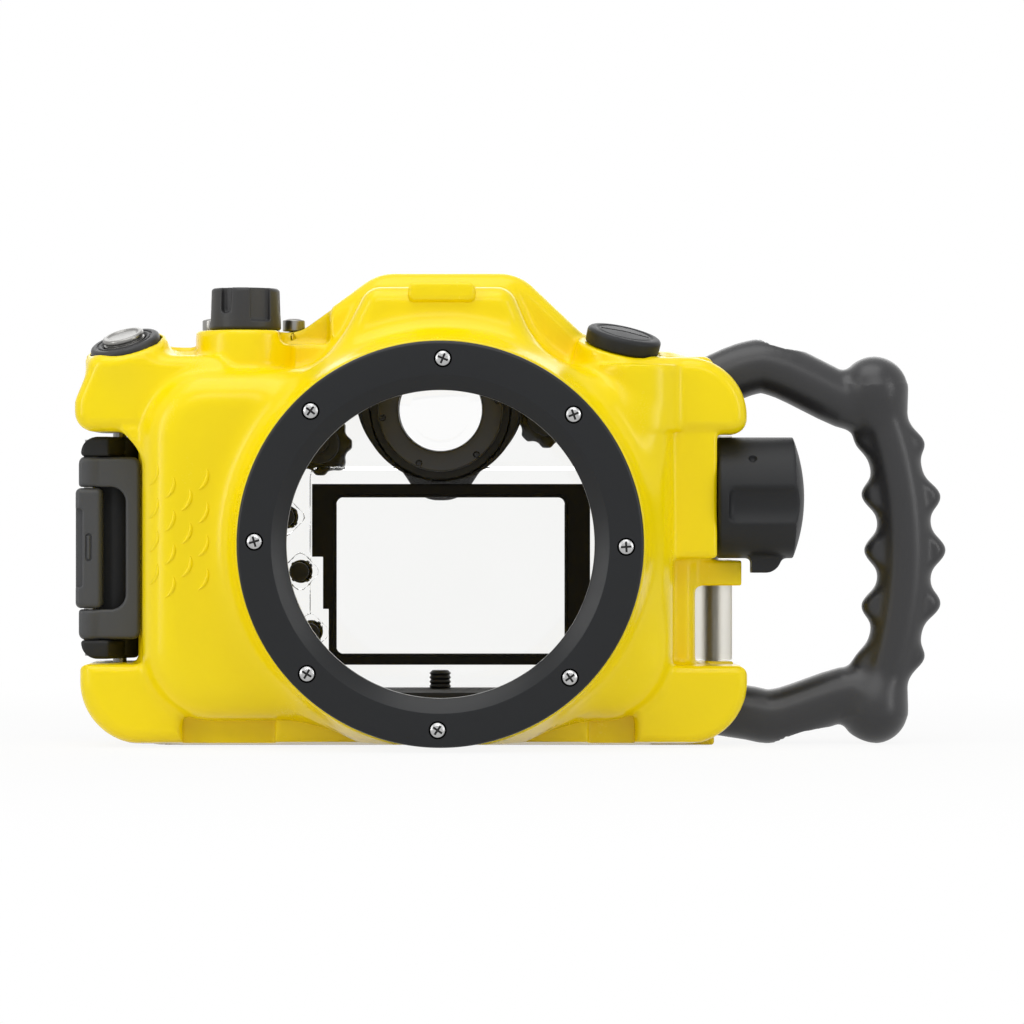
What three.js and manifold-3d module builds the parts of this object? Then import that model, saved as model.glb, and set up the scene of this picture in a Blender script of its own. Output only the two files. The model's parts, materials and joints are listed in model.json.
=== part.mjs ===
// Underwater camera housing: a moulded front shell with a port ring, a clear
// hinged rear cover, a side latch, a D handle and sealed controls.
// Millimetres. X runs to the right seen from the port side, Y from the port
// to the rear cover, Z up. The origin lies on the base plane, on the parting
// plane between shell and cover, below the middle of the port.
import * as THREE from 'three';
import { mergeVertices } from 'three/addons/utils/BufferGeometryUtils.js';
import Module from 'manifold-3d';

const wasm = await Module();
wasm.setup();

// Clearances and cuts
const seatGap = 0.3; // between pieces that rest on each other
const runningGap = 0.3; // round shafts, stems and pins, on the radius
const overrun = 3; // how far a cut runs past the faces it opens

// Facets: sides of large, middle and small rounds, and steps of a corner
const largeSides = 40;
const middleSides = 24;
const smallSides = 12;
const cornerSteps = 2;
const bevelSteps = 2;
const armSteps = 10;
const gripSteps = 26;
const hexSides = 6;
const sealSides = 5;

// Shell: the rear flange (skirt), the deeper front bulge and the wall
const shell = {
  left: -88, right: 73, deck: 113.5, corner: 9, flangeDepth: 24, wall: 6,
};
const hump = { // rise: above the deck
  rise: 22.7, footLeft: -50, topLeft: -18.5, topRight: 22, footRight: 46,
  corner: 14, footFillet: 5,
};
const bulge = {
  left: -85.5, right: 66, bottom: 7.6, top: 108, corner: 20, front: 46, edge: 11,
  wall: 4.6, innerEdge: 6,
};
const brow = { // the smaller front step of the hump, its drop from the hump's top
  footLeft: -40, topLeft: -20.8, topRight: 19.5, footRight: 35, drop: 5, front: 44,
  bottom: 95, corner: 6, edge: 4, wall: 5,
};
const foot = { left: -47.4, right: 41.7, front: 42, top: 20 }; // base pad, up into the bulge
const lip = { halfWidth: 30, reach: 8, height: 2.2 }; // sill under the cover

// Port: ring, its screws, its seal and the boss that carries it
const port = {
  height: 58.2, bore: 43.15, width: 13.75, thickness: 6, landWidth: 4.15, landDrop: 1.8,
  rimEdge: 0.8,
  bossFace: 56, bossEdge: 0.6, bossFlare: 3.5, bossFootFace: 44,
};
const portScrew = {
  inset: 5, count: 8, turn: -0.8, head: 2.4, headHeight: 1.6, shank: 1.6, length: 14,
  sink: 1.2, cross: 0.5, crossReach: 1.5, crossDepth: 0.8,
};
const portSeal = { inset: 3.25, section: 1.1 }; // inset: from the bore

// Side lugs: left pair carries the latch pin, right ones the hinge and handle
const lug = { front: 38, rear: 2, corner: 8, topCorner: 6, edge: 4 };
const lugLowLeft = { left: -103.5, top: 23.7, bottomCorner: 14 };
const lugHighLeft = { left: -104.7, bottom: 90.2, top: 112 };
const lugLowRight = { right: 87.2, top: 23.3, bottomCorner: 12 };
const lugHighRight = { right: 88, bottom: 89.9, top: 112, topCorner: 13 };
const lugMidRight = { right: 86.4, bottom: 45.9, top: 53.2, front: 21 };
const handleSeat = { x: 78.2, front: 22.3 }; // behind the right lugs' fronts
const lugRoot = 56; // where the right lugs start inside the wall
const lugRootLeft = -76; // and the left ones

// Hinge: pin on the shell's right ears, knuckles on the cover
const hinge = {
  x: 79, y: 4.5, pin: 2, knuckle: 6, pinBottom: 1.5, pinTop: 97, earTop: 98,
  webFrom: 69, earBlockLeft: 73.2,
};

// Latch: hook on its pin, lever frame on the lever pin, rocking lock between
const latch = {
  x: -94, y: -14, pin: 2, pinBottom: 14, pinTop: 98, eye: 5.5,
  bottom: 24.9, top: 88.9,
};
const hook = {
  outer: -104, armInner: -92.5, armOuter: -100.2, lipInner: -88.9, lipBack: 11.6,
  armBack: 13, front: -19.4, shoulder: -10,
};
const catchRib = { reach: 4.2, front: 3, back: 7.7, bottom: 32, top: 82 }; // on the cover
const leverPin = { x: -101.5, y: -24, radius: 1.6 };
const lever = {
  bottom: 30.6, top: 83, right: -87, knuckle: 3.1, knuckleHeight: 8.6, thickness: 2.7,
  windowRight: -90.6, windowCorner: 3,
};
const lock = {
  left: -105.6, right: -97.9, halfDepth: 3.3, recess: 1.2, recessLeft: -104, recessEnd: 5.9,
};

// Shutter release: tilted axis, bezel, button, stem and the pocket below
const shutter = {
  x: -90.8, y: -28, z: 114.4, leanXShare: -0.235, leanYShare: -0.32, bezel: 10.15,
  bezelHeight: 4.6, button: 6, proud: 1.8, skirt: 4.4, stem: 2, boss: 11,
  bossLength: 12, well: 3, foot: 3.2, footHeight: 1.4, footDepth: 12.2,
};
const shutterPocket = { left: -97, drop: 9.4, height: 10, front: 34, rear: 18.5 };

// Mode knob with its shaft, rubber cup and clip, on the raised deck
const plateau = { left: -71, right: -33, top: 119.3, front: 23, bossRadius: 14 };
const modeKnob = {
  x: -57, y: -22, radius: 10.2, height: 12, flutes: 3, narrow: 3.3, wide: 6.2, deep: 2,
  narrowRise: 4.7, wideRise: 2.4, roof: 3, turn: -120,
};
const modeShaft = { radius: 3 };
const modeCup = { radius: 9, drop: 6.4, height: 9, socket: 5, skirt: 3 }; // drop: from the roof
const shaftClip = { radius: 5.4, thickness: 1.2 };

// Sprung push buttons on the deck
const topButton = {
  xLeft: -67, xRight: -43.6, y: -10, cap: 3.25, capHeight: 1.7, top: 123.5, stem: 1.4,
  well: 3.7, wellDepth: 3, foot: 2.4, footHeight: 1.4,
};
const springWall = 0.9; // thickness of the sleeve that a coil fills

// Screw plug over the accessory port
const plug = {
  x: 52, y: -28, z: 116.5, leanXShare: 0.2126, leanYShare: -0.2309, head: 10.8,
  height: 4.9, thread: 7, threadLength: 9, boss: 12.6, bossLength: 12, slot: 1.6, slotDepth: 1.6,
  sealSection: 1.1,
};

// Focus knob on the right side with shaft, gear and clip
const focus = {
  y: -22, z: 71.3, boss: 17.5, bossCorner: 4, bossEdge: 3, bossEnd: 78.6, knob: 17.3,
  knobEnd: 103, dome: 2.6, shaft: 4, shaftStart: 48, grooveDepth: 2.2, grooveWidth: 11.8,
  grooves: 3, grooveTurn: 97.5, grooveInset: 1.4,
  tabLeft: 88.7, tabRight: 96.7, tabReach: 21.4, tabWidth: 9, gear: 12, gearStart: 50,
  gearWidth: 7, teeth: 16, toothDepth: 1, toothShare: 0.25, clipStart: 59, bore: 14,
  domeShare: 0.6,
};

// Rear cover: clear tray shape that meets the flange, with viewfinder well
const cover = {
  front: 0.6, back: 26, wall: 5, backWall: 4, inset: 0.7, bottom: 2.5, edge: 4,
  grooveDepth: 2, grooveInset: 1.3, grooveWidth: 2.4,
};
const finder = { // viewfinder bezel, its drop from the hump's top, window and retainer
  x: -1.3, drop: 8.2, offset: 4.8, flange: 25.4, hole: 12.4, coverHole: 13.6,
  bezelFront: 14.6, rim: 24, rimRise: 2.4, rimDepth: 2.4, flat: 17.1, window: 16.4,
  windowDepth: 3, retainer: 18.6, retainerThickness: 2.2,
  hood: 20, hoodLength: 6,
};
const eyecup = { halfWidth: 21.2, above: 23.7, below: 27.1, corner: 21, thickness: 4.2 };
const screenMask = {
  left: -39.8, right: 43.4, bottom: 21.5, topGap: 1.6, windowLeft: -32.6,
  windowRight: 35.9, windowBottom: 24.7, topBar: 3.9, corner: 2.5, thickness: 2,
  highStep: 53.8, highStepWidth: 3.3, lowStep: 38.2, lowStepWidth: 5,
};
const dial = {
  xLeft: -37.7, zLeft: 87.7, xRight: 30.5, zRight: 96, radius: 9.5, lobes: 8,
  lobeDepth: 1.2, height: 7,
  shaft: 2.5, wheel: 6, wheelThickness: 3,
};
const rearButtons = [
  { x: -43.6, z: 49.3 },
  { x: -47.9, z: 65.7 },
  { x: -40.5, z: 31.1 },
];
const rearButton = {
  cap: 4, capHeight: 1.8, proud: 6, stem: 1.4, foot: 2.8, footHeight: 1.5, boss: 5,
  bossHeight: 2,
};

// Inside: tray with its camera screw on the floor rails, leak sensor, insert
const tray = { left: -40, right: 38, front: 36, rear: 1, top: 15.7, corner: 3 };
const cameraScrew = {
  x: -1, y: -5, shank: 3.175, top: 20.9, head: 7.5, headHeight: 2.6, slot: 1.6,
};
const insert = { y: -12, radius: 5, bore: 2.6, height: 4.6 };
const leakSensor = { x: 52, y: -10, length: 14, width: 8, height: 3 };

// Handle: D loop as an outline in X and Z, ripples worked out along the grip
const handle = {
  y: -12.5, halfThickness: 8, armHalfDepth: 7.7, knuckle: 9.6, knuckleInset: 8.8,
  start: 72, nearX: 88, farX: 98, elbowInset: 6.6,
};
const topArm = { root: 101.5, near: 108.8, far: 108.4, elbow: 98.8, knuckle: 102.3 };
const bottomArm = { root: 11.5, near: 8.9, far: 8.1, elbow: 14.6, knuckle: 9.9 };
const grip = {
  x: 134.4, middle: 56.1, halfHeight: 41.5, bow: 7.8, halfWidth: 9.55, taper: 2.4,
  ripple: 2.25, pitch: 16,
};
const handleBolt = {
  shank: 2.5, head: 4.3, headHeight: 4, socket: 2, socketDepth: 2.2, grip: 9, reach: 8,
  pocket: 24, rise: 2,
};
const boltSlope = { topShare: 0.6, bottomShare: -0.35 }; // rise over run towards the grip

// Worked out from the values above
const quarter = Math.PI / 2;
const fullTurn = Math.PI * 2;
const weld = 1e-4;
const humpTop = shell.deck + hump.rise;
const browTop = humpTop - brow.drop;
const ringOuter = port.bore + port.width;
const ringLand = port.bore + port.landWidth;
const screwCircle = ringOuter - portScrew.inset;
const sealRadius = port.bore + portSeal.inset;
const bossRadius = ringOuter + port.bossEdge;
const bossFoot = bossRadius + port.bossFlare;
const flangeHeight = humpTop - finder.drop - finder.flange;
const finderHeight = flangeHeight - finder.offset;
const maskTop = flangeHeight - finder.flange - screenMask.topGap;
const floorHeight = bulge.bottom + bulge.wall;
const flangeRoof = shell.deck - shell.wall;
const bulgeRoof = bulge.top - bulge.wall;
const cupTop = bulgeRoof - modeCup.drop;
const coverInner = cover.back - cover.backWall;
const plateauSeat = plateau.top + seatGap;
const handleRoot = handleSeat.x + seatGap;
const knuckleX = grip.x - handle.knuckleInset;
const dialPlaces = [{ x: dial.xLeft, z: dial.zLeft }, { x: dial.xRight, z: dial.zRight }];
const pocketTop = shutter.z - shutterPocket.drop;

// Turns a closed geometry into a solid, its faces out
function solid(geometry) {
  const bare = geometry.clone();
  bare.deleteAttribute('normal');
  bare.deleteAttribute('uv');
  const merged = mergeVertices(bare, weld);
  const places = merged.attributes.position;
  const corners = [];
  const index = merged.index.array;
  let volume = 0;
  const [a, b, c] = [new THREE.Vector3(), new THREE.Vector3(), new THREE.Vector3()];
  for (let i = 0; i < index.length; i += 3) {
    const face = [index[i], index[i + 1], index[i + 2]];
    if (new Set(face).size === 3) {
      corners.push(...face);
      a.fromBufferAttribute(places, face[0]);
      b.fromBufferAttribute(places, face[1]);
      c.fromBufferAttribute(places, face[2]);
      volume += a.dot(b.cross(c));
    }
  }
  if (volume < 0) {
    corners.reverse();
  }
  return new wasm.Manifold(new wasm.Mesh({
    numProp: 3,
    vertProperties: new Float32Array(places.array),
    triVerts: new Uint32Array(corners),
  }));
}

const asSolid = (part) => (part.isBufferGeometry ? solid(part) : part);

function join(first, ...rest) {
  return rest.reduce((sum, part) => sum.add(asSolid(part)), asSolid(first));
}

function cut(body, ...tools) {
  return tools.reduce((left, tool) => left.subtract(asSolid(tool)), asSolid(body));
}

// A named mesh from a solid or a closed geometry
function piece(name, part, finish) {
  const { vertProperties, triVerts } = asSolid(part).getMesh();
  const geometry = new THREE.BufferGeometry();
  geometry.setAttribute('position', new THREE.BufferAttribute(vertProperties, 3));
  geometry.setIndex(new THREE.BufferAttribute(triVerts, 1));
  geometry.computeVertexNormals();
  const mesh = new THREE.Mesh(geometry, new THREE.MeshStandardMaterial(finish));
  mesh.name = name;
  return mesh;
}

function block(left, right, front, rear, bottom, top) {
  const geometry = new THREE.BoxGeometry(right - left, rear - front, top - bottom);
  return geometry.translate((left + right) / 2, (front + rear) / 2, (bottom + top) / 2);
}

// A round bar between two points, tapered where the end radius differs
function bar(start, end, radius, sides, endRadius = radius) {
  const from = new THREE.Vector3(...start);
  const along = new THREE.Vector3(...end).sub(from);
  const length = along.length();
  const geometry = new THREE.CylinderGeometry(endRadius, radius, length, sides);
  const turn = new THREE.Quaternion();
  turn.setFromUnitVectors(new THREE.Vector3(0, 1, 0), along.normalize());
  geometry.translate(0, length / 2, 0).applyQuaternion(turn);
  return geometry.translate(from.x, from.y, from.z);
}

const post = (x, y, radius, bottom, top, sides) => (
  bar([x, y, bottom], [x, y, top], radius, sides)
);
const stud = (x, z, radius, front, rear, sides) => (
  bar([x, front, z], [x, rear, z], radius, sides)
);

// A round sleeve along Y, with its bore
function ringAlongY(x, z, outer, inner, front, rear, sides) {
  const bore = stud(x, z, inner, front - overrun, rear + overrun, sides);
  return cut(stud(x, z, outer, front, rear, sides), bore);
}

function ringAlongZ(x, y, outer, inner, bottom, top, sides) {
  const bore = post(x, y, inner, bottom - overrun, top + overrun, sides);
  return cut(post(x, y, outer, bottom, top, sides), bore);
}

// A closed outline from corners [x, z, radius], anticlockwise
function outline(corners) {
  const shape = new THREE.Shape();
  const count = corners.length;
  corners.forEach(([x, z, radius = 0], i) => {
    const corner = new THREE.Vector2(x, z);
    const [beforeX, beforeZ] = corners[(i + count - 1) % count];
    const [afterX, afterZ] = corners[(i + 1) % count];
    const back = new THREE.Vector2(beforeX, beforeZ).sub(corner).normalize();
    const on = new THREE.Vector2(afterX, afterZ).sub(corner).normalize();
    const half = Math.acos(THREE.MathUtils.clamp(back.dot(on), -1, 1)) / 2;
    const start = corner.clone().addScaledVector(back, radius / Math.tan(half));
    if (i === 0) {
      shape.moveTo(start.x, start.y);
    } else {
      shape.lineTo(start.x, start.y);
    }
    if (radius > 0) {
      const middle = back.clone().add(on).normalize();
      const centre = corner.clone().addScaledVector(middle, radius / Math.sin(half));
      const end = corner.clone().addScaledVector(on, radius / Math.tan(half));
      const first = start.clone().sub(centre).angle();
      const last = end.sub(centre).angle();
      shape.absarc(centre.x, centre.y, radius, first, last, back.cross(on) > 0);
    }
  });
  shape.closePath();
  return shape;
}

// The same corners moved inwards, radii following
function inset(corners, distance) {
  const count = corners.length;
  return corners.map(([x, z, radius = 0], i) => {
    const [beforeX, beforeZ] = corners[(i + count - 1) % count];
    const [afterX, afterZ] = corners[(i + 1) % count];
    const come = new THREE.Vector2(x - beforeX, z - beforeZ).normalize();
    const go = new THREE.Vector2(afterX - x, afterZ - z).normalize();
    const reach = distance / (1 + come.dot(go));
    const turned = come.cross(go) > 0 ? radius - distance : radius + distance;
    return [x - (come.y + go.y) * reach, z + (come.x + go.x) * reach, Math.max(turned, 0)];
  });
}

// A plate along Y from an outline in X and Z, its edges rounded where asked
function plate(corners, front, rear, edge = 0) {
  const geometry = new THREE.ExtrudeGeometry(outline(corners), {
    depth: rear - front - 2 * edge,
    bevelEnabled: edge > 0,
    bevelThickness: edge,
    bevelSize: edge,
    bevelOffset: -edge,
    bevelSegments: bevelSteps,
    curveSegments: cornerSteps,
  });
  return geometry.rotateX(quarter).translate(0, rear - edge, 0);
}

// A slab along Z from an outline in X and Y
function slab(corners, bottom, top) {
  const depth = top - bottom;
  const settings = { depth, bevelEnabled: false, curveSegments: cornerSteps };
  const geometry = new THREE.ExtrudeGeometry(outline(corners), settings);
  return geometry.translate(0, 0, bottom);
}

function rectangle(left, right, bottom, top, corner) {
  return [
    [left, bottom, corner], [right, bottom, corner], [right, top, corner], [left, top, corner],
  ];
}

// A closed skin through rings of points, its ends capped
function loft(rings) {
  const sides = rings[0].length;
  const places = rings.flat().flatMap((point) => [point.x, point.y, point.z]);
  const faces = [];
  for (let r = 0; r + 1 < rings.length; r += 1) {
    for (let s = 0; s < sides; s += 1) {
      const a = r * sides + s;
      const b = r * sides + ((s + 1) % sides);
      faces.push(a, b, b + sides, a, b + sides, a + sides);
    }
  }
  const last = (rings.length - 1) * sides;
  for (let s = 1; s + 1 < sides; s += 1) {
    faces.push(0, s + 1, s, last, last + s, last + s + 1);
  }
  const geometry = new THREE.BufferGeometry();
  geometry.setAttribute('position', new THREE.Float32BufferAttribute(places, 3));
  geometry.setIndex(faces);
  return geometry;
}

// Flange outline with the hump, shared by shell, cover and seal
const bodyCorners = (bottom) => [
  [shell.left, bottom, shell.corner],
  [shell.right, bottom, shell.corner],
  [shell.right, shell.deck, shell.corner],
  [hump.footRight, shell.deck, hump.footFillet],
  [hump.topRight, humpTop, hump.corner],
  [hump.topLeft, humpTop, hump.corner],
  [hump.footLeft, shell.deck, hump.footFillet],
  [shell.left, shell.deck, shell.corner],
];
const bulgeCorners = rectangle(bulge.left, bulge.right, bulge.bottom, bulge.top, bulge.corner);
const browCorners = [
  [brow.footLeft, brow.bottom, brow.corner],
  [brow.footRight, brow.bottom, brow.corner],
  [brow.topRight, browTop, brow.corner],
  [brow.topLeft, browTop, brow.corner],
];
const coverCorners = inset(bodyCorners(cover.bottom - cover.inset), cover.inset);

// A frame whose +Z is a leaning axis through a point
function leaning({ x, y, z, leanXShare, leanYShare }) {
  const upright = Math.sqrt(1 - leanXShare ** 2 - leanYShare ** 2);
  const axis = new THREE.Vector3(leanXShare, leanYShare, upright);
  const frame = new THREE.Group();
  frame.position.set(x, y, z);
  frame.quaternion.setFromUnitVectors(new THREE.Vector3(0, 0, 1), axis);
  frame.updateMatrix();
  return frame;
}
const shutterFrame = leaning(shutter);
const plugFrame = leaning(plug);
const inFrame = (geometry, frame) => geometry.applyMatrix4(frame.matrix);

// Places of the port screws on their circle
const screwPlaces = Array.from({ length: portScrew.count }, (_, k) => {
  const angle = (k / portScrew.count) * fullTurn + THREE.MathUtils.degToRad(portScrew.turn);
  return {
    x: screwCircle * Math.sin(-angle),
    z: port.height + screwCircle * Math.cos(angle),
  };
});

// Handle bolts: root on the seat plane, unit direction towards the grip
const boltLine = (root, slope) => {
  const along = new THREE.Vector3(1, 0, slope).normalize();
  return (distance) => [
    handleSeat.x + along.x * distance, handle.y, root + along.z * distance,
  ];
};
const boltRoots = { top: topArm.root + handleBolt.rise, bottom: bottomArm.root };
const boltLines = {
  top: boltLine(boltRoots.top, boltSlope.topShare),
  bottom: boltLine(boltRoots.bottom, boltSlope.bottomShare),
};
const boltHole = (line, from, to, radius) => bar(line(from), line(to), radius, smallSides);

// Left lugs with the latch pin between them
function leftLugs() {
  const lower = [
    [lugLowLeft.left, 0, lugLowLeft.bottomCorner], [lugRootLeft, 0], [lugRootLeft, lugLowLeft.top],
    [lugLowLeft.left, lugLowLeft.top, lug.topCorner],
  ];
  const upper = [
    [lugHighLeft.left, lugHighLeft.bottom, lug.topCorner], [lugRootLeft, lugHighLeft.bottom],
    [lugRootLeft, lugHighLeft.top], [lugHighLeft.left, lugHighLeft.top, lug.corner],
  ];
  return join(
    plate(lower, -lug.front, -lug.rear, lug.edge),
    plate(upper, -lug.front, -lug.rear, lug.edge),
    inFrame(
      bar([0, 0, -shutter.bossLength], [0, 0, -shutter.bezelHeight / 2], shutter.boss, middleSides),
      shutterFrame,
    ),
  );
}

// Hinge ear round the pin, set on the lug in front of it
function hingeEar(bottom, top) {
  const earRight = hinge.x + hinge.knuckle;
  const earFront = hinge.y - hinge.knuckle - lug.rear;
  return join(
    post(hinge.x, hinge.y, hinge.knuckle, bottom, top, middleSides),
    block(hinge.earBlockLeft, earRight, earFront + lug.rear / 2, hinge.y, bottom, top),
  );
}

// Right lugs: deep fronts that hide the handle's root, a seat behind, hinge ears
function rightLugs() {
  const lower = [
    [lugRoot, 0], [lugLowRight.right, 0, lugLowRight.bottomCorner],
    [lugLowRight.right, lugLowRight.top, seatGap], [lugRoot, lugLowRight.top],
  ];
  const upper = [
    [lugRoot, lugHighRight.bottom], [lugHighRight.right, lugHighRight.bottom, lug.rear],
    [lugHighRight.right, lugHighRight.top, lugHighRight.topCorner],
    [lugRoot, lugHighRight.top],
  ];
  const middleFront = -lugMidRight.front;
  return join(
    plate(lower, -lug.front, -handleSeat.front),
    plate(upper, -lug.front, -handleSeat.front),
    block(lugRoot, handleSeat.x, -handleSeat.front - lug.edge, 0, 0, lugLowRight.top),
    block(
      lugRoot, handleSeat.x, -handleSeat.front - lug.edge, 0,
      lugHighRight.bottom, lugHighRight.top,
    ),
    block(
      lugRoot, lugMidRight.right, middleFront, -lug.rear, lugMidRight.bottom, lugMidRight.top,
    ),
    hingeEar(0, lugLowRight.top),
    hingeEar(lugMidRight.bottom, lugMidRight.top),
    hingeEar(lugHighRight.bottom, hinge.earTop),
  );
}

// Bosses that carry the controls
function controlBosses() {
  return join(
    block(plateau.left, plateau.right, -plateau.front, 0, bulgeRoof, plateau.top),
    post(modeKnob.x, modeKnob.y, plateau.bossRadius, bulgeRoof, plateau.top, middleSides),
    inFrame(
      bar([0, 0, -plug.bossLength], [0, 0, -plug.height / 2], plug.boss, middleSides),
      plugFrame,
    ),
    plate(rectangle(lugRoot, focus.bossEnd, focus.z - focus.boss, focus.z + focus.boss,
      focus.bossCorner), focus.y - focus.boss, focus.y + focus.boss, focus.bossEdge),
  );
}

// Holes for pins, screws, shafts, stems and inserts
function shellHoles() {
  const screwHoles = screwPlaces.map(({ x, z }) => stud(
    x, z, portScrew.shank + runningGap, -port.bossFace - overrun,
    -port.bossFace + portScrew.length - port.thickness + seatGap, smallSides,
  ));
  const buttonHoles = [topButton.xLeft, topButton.xRight].map((x) => join(
    post(x, topButton.y, topButton.stem + runningGap, flangeRoof - overrun, plateau.top, smallSides),
    post(
      x, topButton.y, topButton.well, plateau.top - topButton.wellDepth,
      humpTop + overrun, middleSides,
    ),
  ));
  const shutterWell = -shutter.bezelHeight / 2 - shutter.well;
  return join(
    ...screwHoles,
    ...buttonHoles,
    post(
      modeKnob.x, modeKnob.y, modeShaft.radius + runningGap, bulgeRoof - overrun,
      plateau.top + overrun, smallSides,
    ),
    post(latch.x, latch.y, latch.pin + runningGap, latch.pinBottom - seatGap,
      latch.pinTop + seatGap, smallSides),
    post(hinge.x, hinge.y, hinge.pin + runningGap, hinge.pinBottom - seatGap,
      hinge.pinTop + seatGap, smallSides),
    bar([bulge.right - bulge.wall - overrun, focus.y, focus.z],
      [focus.bossEnd + overrun, focus.y, focus.z], focus.shaft + runningGap, smallSides),
    inFrame(bar([0, 0, shutterWell], [0, 0, overrun], shutter.button + runningGap, middleSides),
      shutterFrame),
    inFrame(bar([0, 0, -shutter.footDepth], [0, 0, 0], shutter.stem + runningGap, smallSides),
      shutterFrame),
    inFrame(bar([0, 0, -plug.threadLength - plug.bossLength], [0, 0, overrun],
      plug.thread + runningGap, middleSides), plugFrame),
    inFrame(bar([0, 0, -shutter.bezelHeight / 2], [0, 0, shutter.bossLength],
      shutter.bezel + seatGap, middleSides), shutterFrame),
    inFrame(bar([0, 0, -plug.height / 2], [0, 0, plug.bossLength], plug.head + seatGap,
      middleSides), plugFrame),
    block(shutterPocket.left, bulge.left + 2 * bulge.wall, -shutterPocket.front,
      -shutterPocket.rear, pocketTop - shutterPocket.height, pocketTop),
    post(0, insert.y, insert.radius + seatGap, -overrun, insert.height + 2 * seatGap,
      middleSides),
    boltHole(boltLines.top, -handleBolt.reach - seatGap, overrun, handleBolt.shank + runningGap),
    boltHole(boltLines.bottom, -handleBolt.reach - seatGap, overrun,
      handleBolt.shank + runningGap),
  );
}

// Inner spaces: deep bay, flange and hump space, brow space, port bore
function shellSpaces() {
  return join(
    plate(inset(bulgeCorners, bulge.wall), -bulge.front + bulge.wall, overrun + bulge.innerEdge,
      bulge.innerEdge),
    plate(inset(bodyCorners(0), shell.wall), -shell.flangeDepth + shell.wall, overrun),
    plate(inset(browCorners, brow.wall), -brow.front + brow.wall, -shell.flangeDepth / 2),
    stud(0, port.height, port.bore, -port.bossFace - overrun, -shell.flangeDepth, largeSides),
    ringAlongY(0, port.height, sealRadius + 2 * portSeal.section + seatGap,
      sealRadius - 2 * portSeal.section - seatGap, -port.bossFace - overrun,
      -port.bossFace + 2 * portSeal.section, largeSides),
  );
}

function frontShell() {
  const below = block(2 * shell.left, 2 * lugHighRight.right, -2 * port.bossFace, 2 * cover.back,
    -overrun - bossFoot, 0);
  const pad = block(foot.left, foot.right, -foot.front, -shell.flangeDepth + overrun, 0,
    foot.top);
  const outside = join(
    plate(bodyCorners(0), -shell.flangeDepth, 0),
    plate(bulgeCorners, -bulge.front, -shell.flangeDepth + bulge.edge + overrun, bulge.edge),
    plate(browCorners, -brow.front, -shell.flangeDepth + brow.edge + overrun, brow.edge),
    bar([0, -port.bossFace, port.height], [0, -port.bossFootFace, port.height],
      bossRadius, largeSides, bossFoot),
    stud(0, port.height, bossFoot, -port.bossFootFace, -shell.flangeDepth, largeSides),
    pad,
    leftLugs(),
    rightLugs(),
    controlBosses(),
  );
  const sill = block(-lip.halfWidth, lip.halfWidth, -overrun, lip.reach, 0, lip.height);
  return join(cut(outside, below, shellSpaces(), shellHoles()), sill);
}

// A closed profile [radius, height] turned about Z
function turned(profile, sides) {
  const points = profile.map(([radius, height]) => new THREE.Vector2(radius, height));
  points.push(points[0].clone());
  return new THREE.LatheGeometry(points, sides).rotateX(quarter);
}

// A seal: a ring of few sides round an axis along Z
function sealRing(radius, section, height) {
  const profile = Array.from({ length: sealSides }, (_, k) => {
    const angle = (k / sealSides) * fullTurn;
    return [radius + section * Math.cos(angle), height + section * Math.sin(angle)];
  });
  return turned(profile, middleSides);
}

function portRing() {
  const face = port.bossFace + port.thickness;
  const back = port.bossFace + seatGap;
  const profile = [
    [port.bore, back], [ringOuter, back], [ringOuter, face - port.rimEdge],
    [ringOuter - port.rimEdge, face], [ringLand, face], [port.bore, face - port.landDrop],
  ];
  const body = turned(profile, largeSides).rotateX(quarter).translate(0, 0, port.height);
  const holes = screwPlaces.map(({ x, z }) => join(
    stud(x, z, portScrew.shank + runningGap, -face - overrun, -back + overrun, smallSides),
    stud(x, z, portScrew.head + runningGap, -face - overrun, portScrew.sink - face, smallSides),
  ));
  return cut(body, ...holes);
}

// A cross-head screw, its head in the ring's sunk seat
function crossScrew({ x, z }) {
  const seat = portScrew.sink - seatGap - port.bossFace - port.thickness;
  const top = seat - portScrew.headHeight;
  const bottom = top + portScrew.crossDepth;
  const { cross, crossReach } = portScrew;
  return cut(
    join(
      stud(x, z, portScrew.head, top, seat, smallSides),
      stud(x, z, portScrew.shank, seat - portScrew.headHeight / 2, top + portScrew.length,
        smallSides),
    ),
    block(x - crossReach, x + crossReach, top - overrun, bottom, z - cross, z + cross),
    block(x - cross, x + cross, top - overrun, bottom, z - crossReach, z + crossReach),
  );
}

function portSealRing() {
  const seat = port.bossFace - 2 * portSeal.section + portSeal.section + seatGap;
  const ring = sealRing(sealRadius, portSeal.section, 0);
  return ring.rotateX(quarter).translate(0, -seat, port.height);
}

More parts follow.
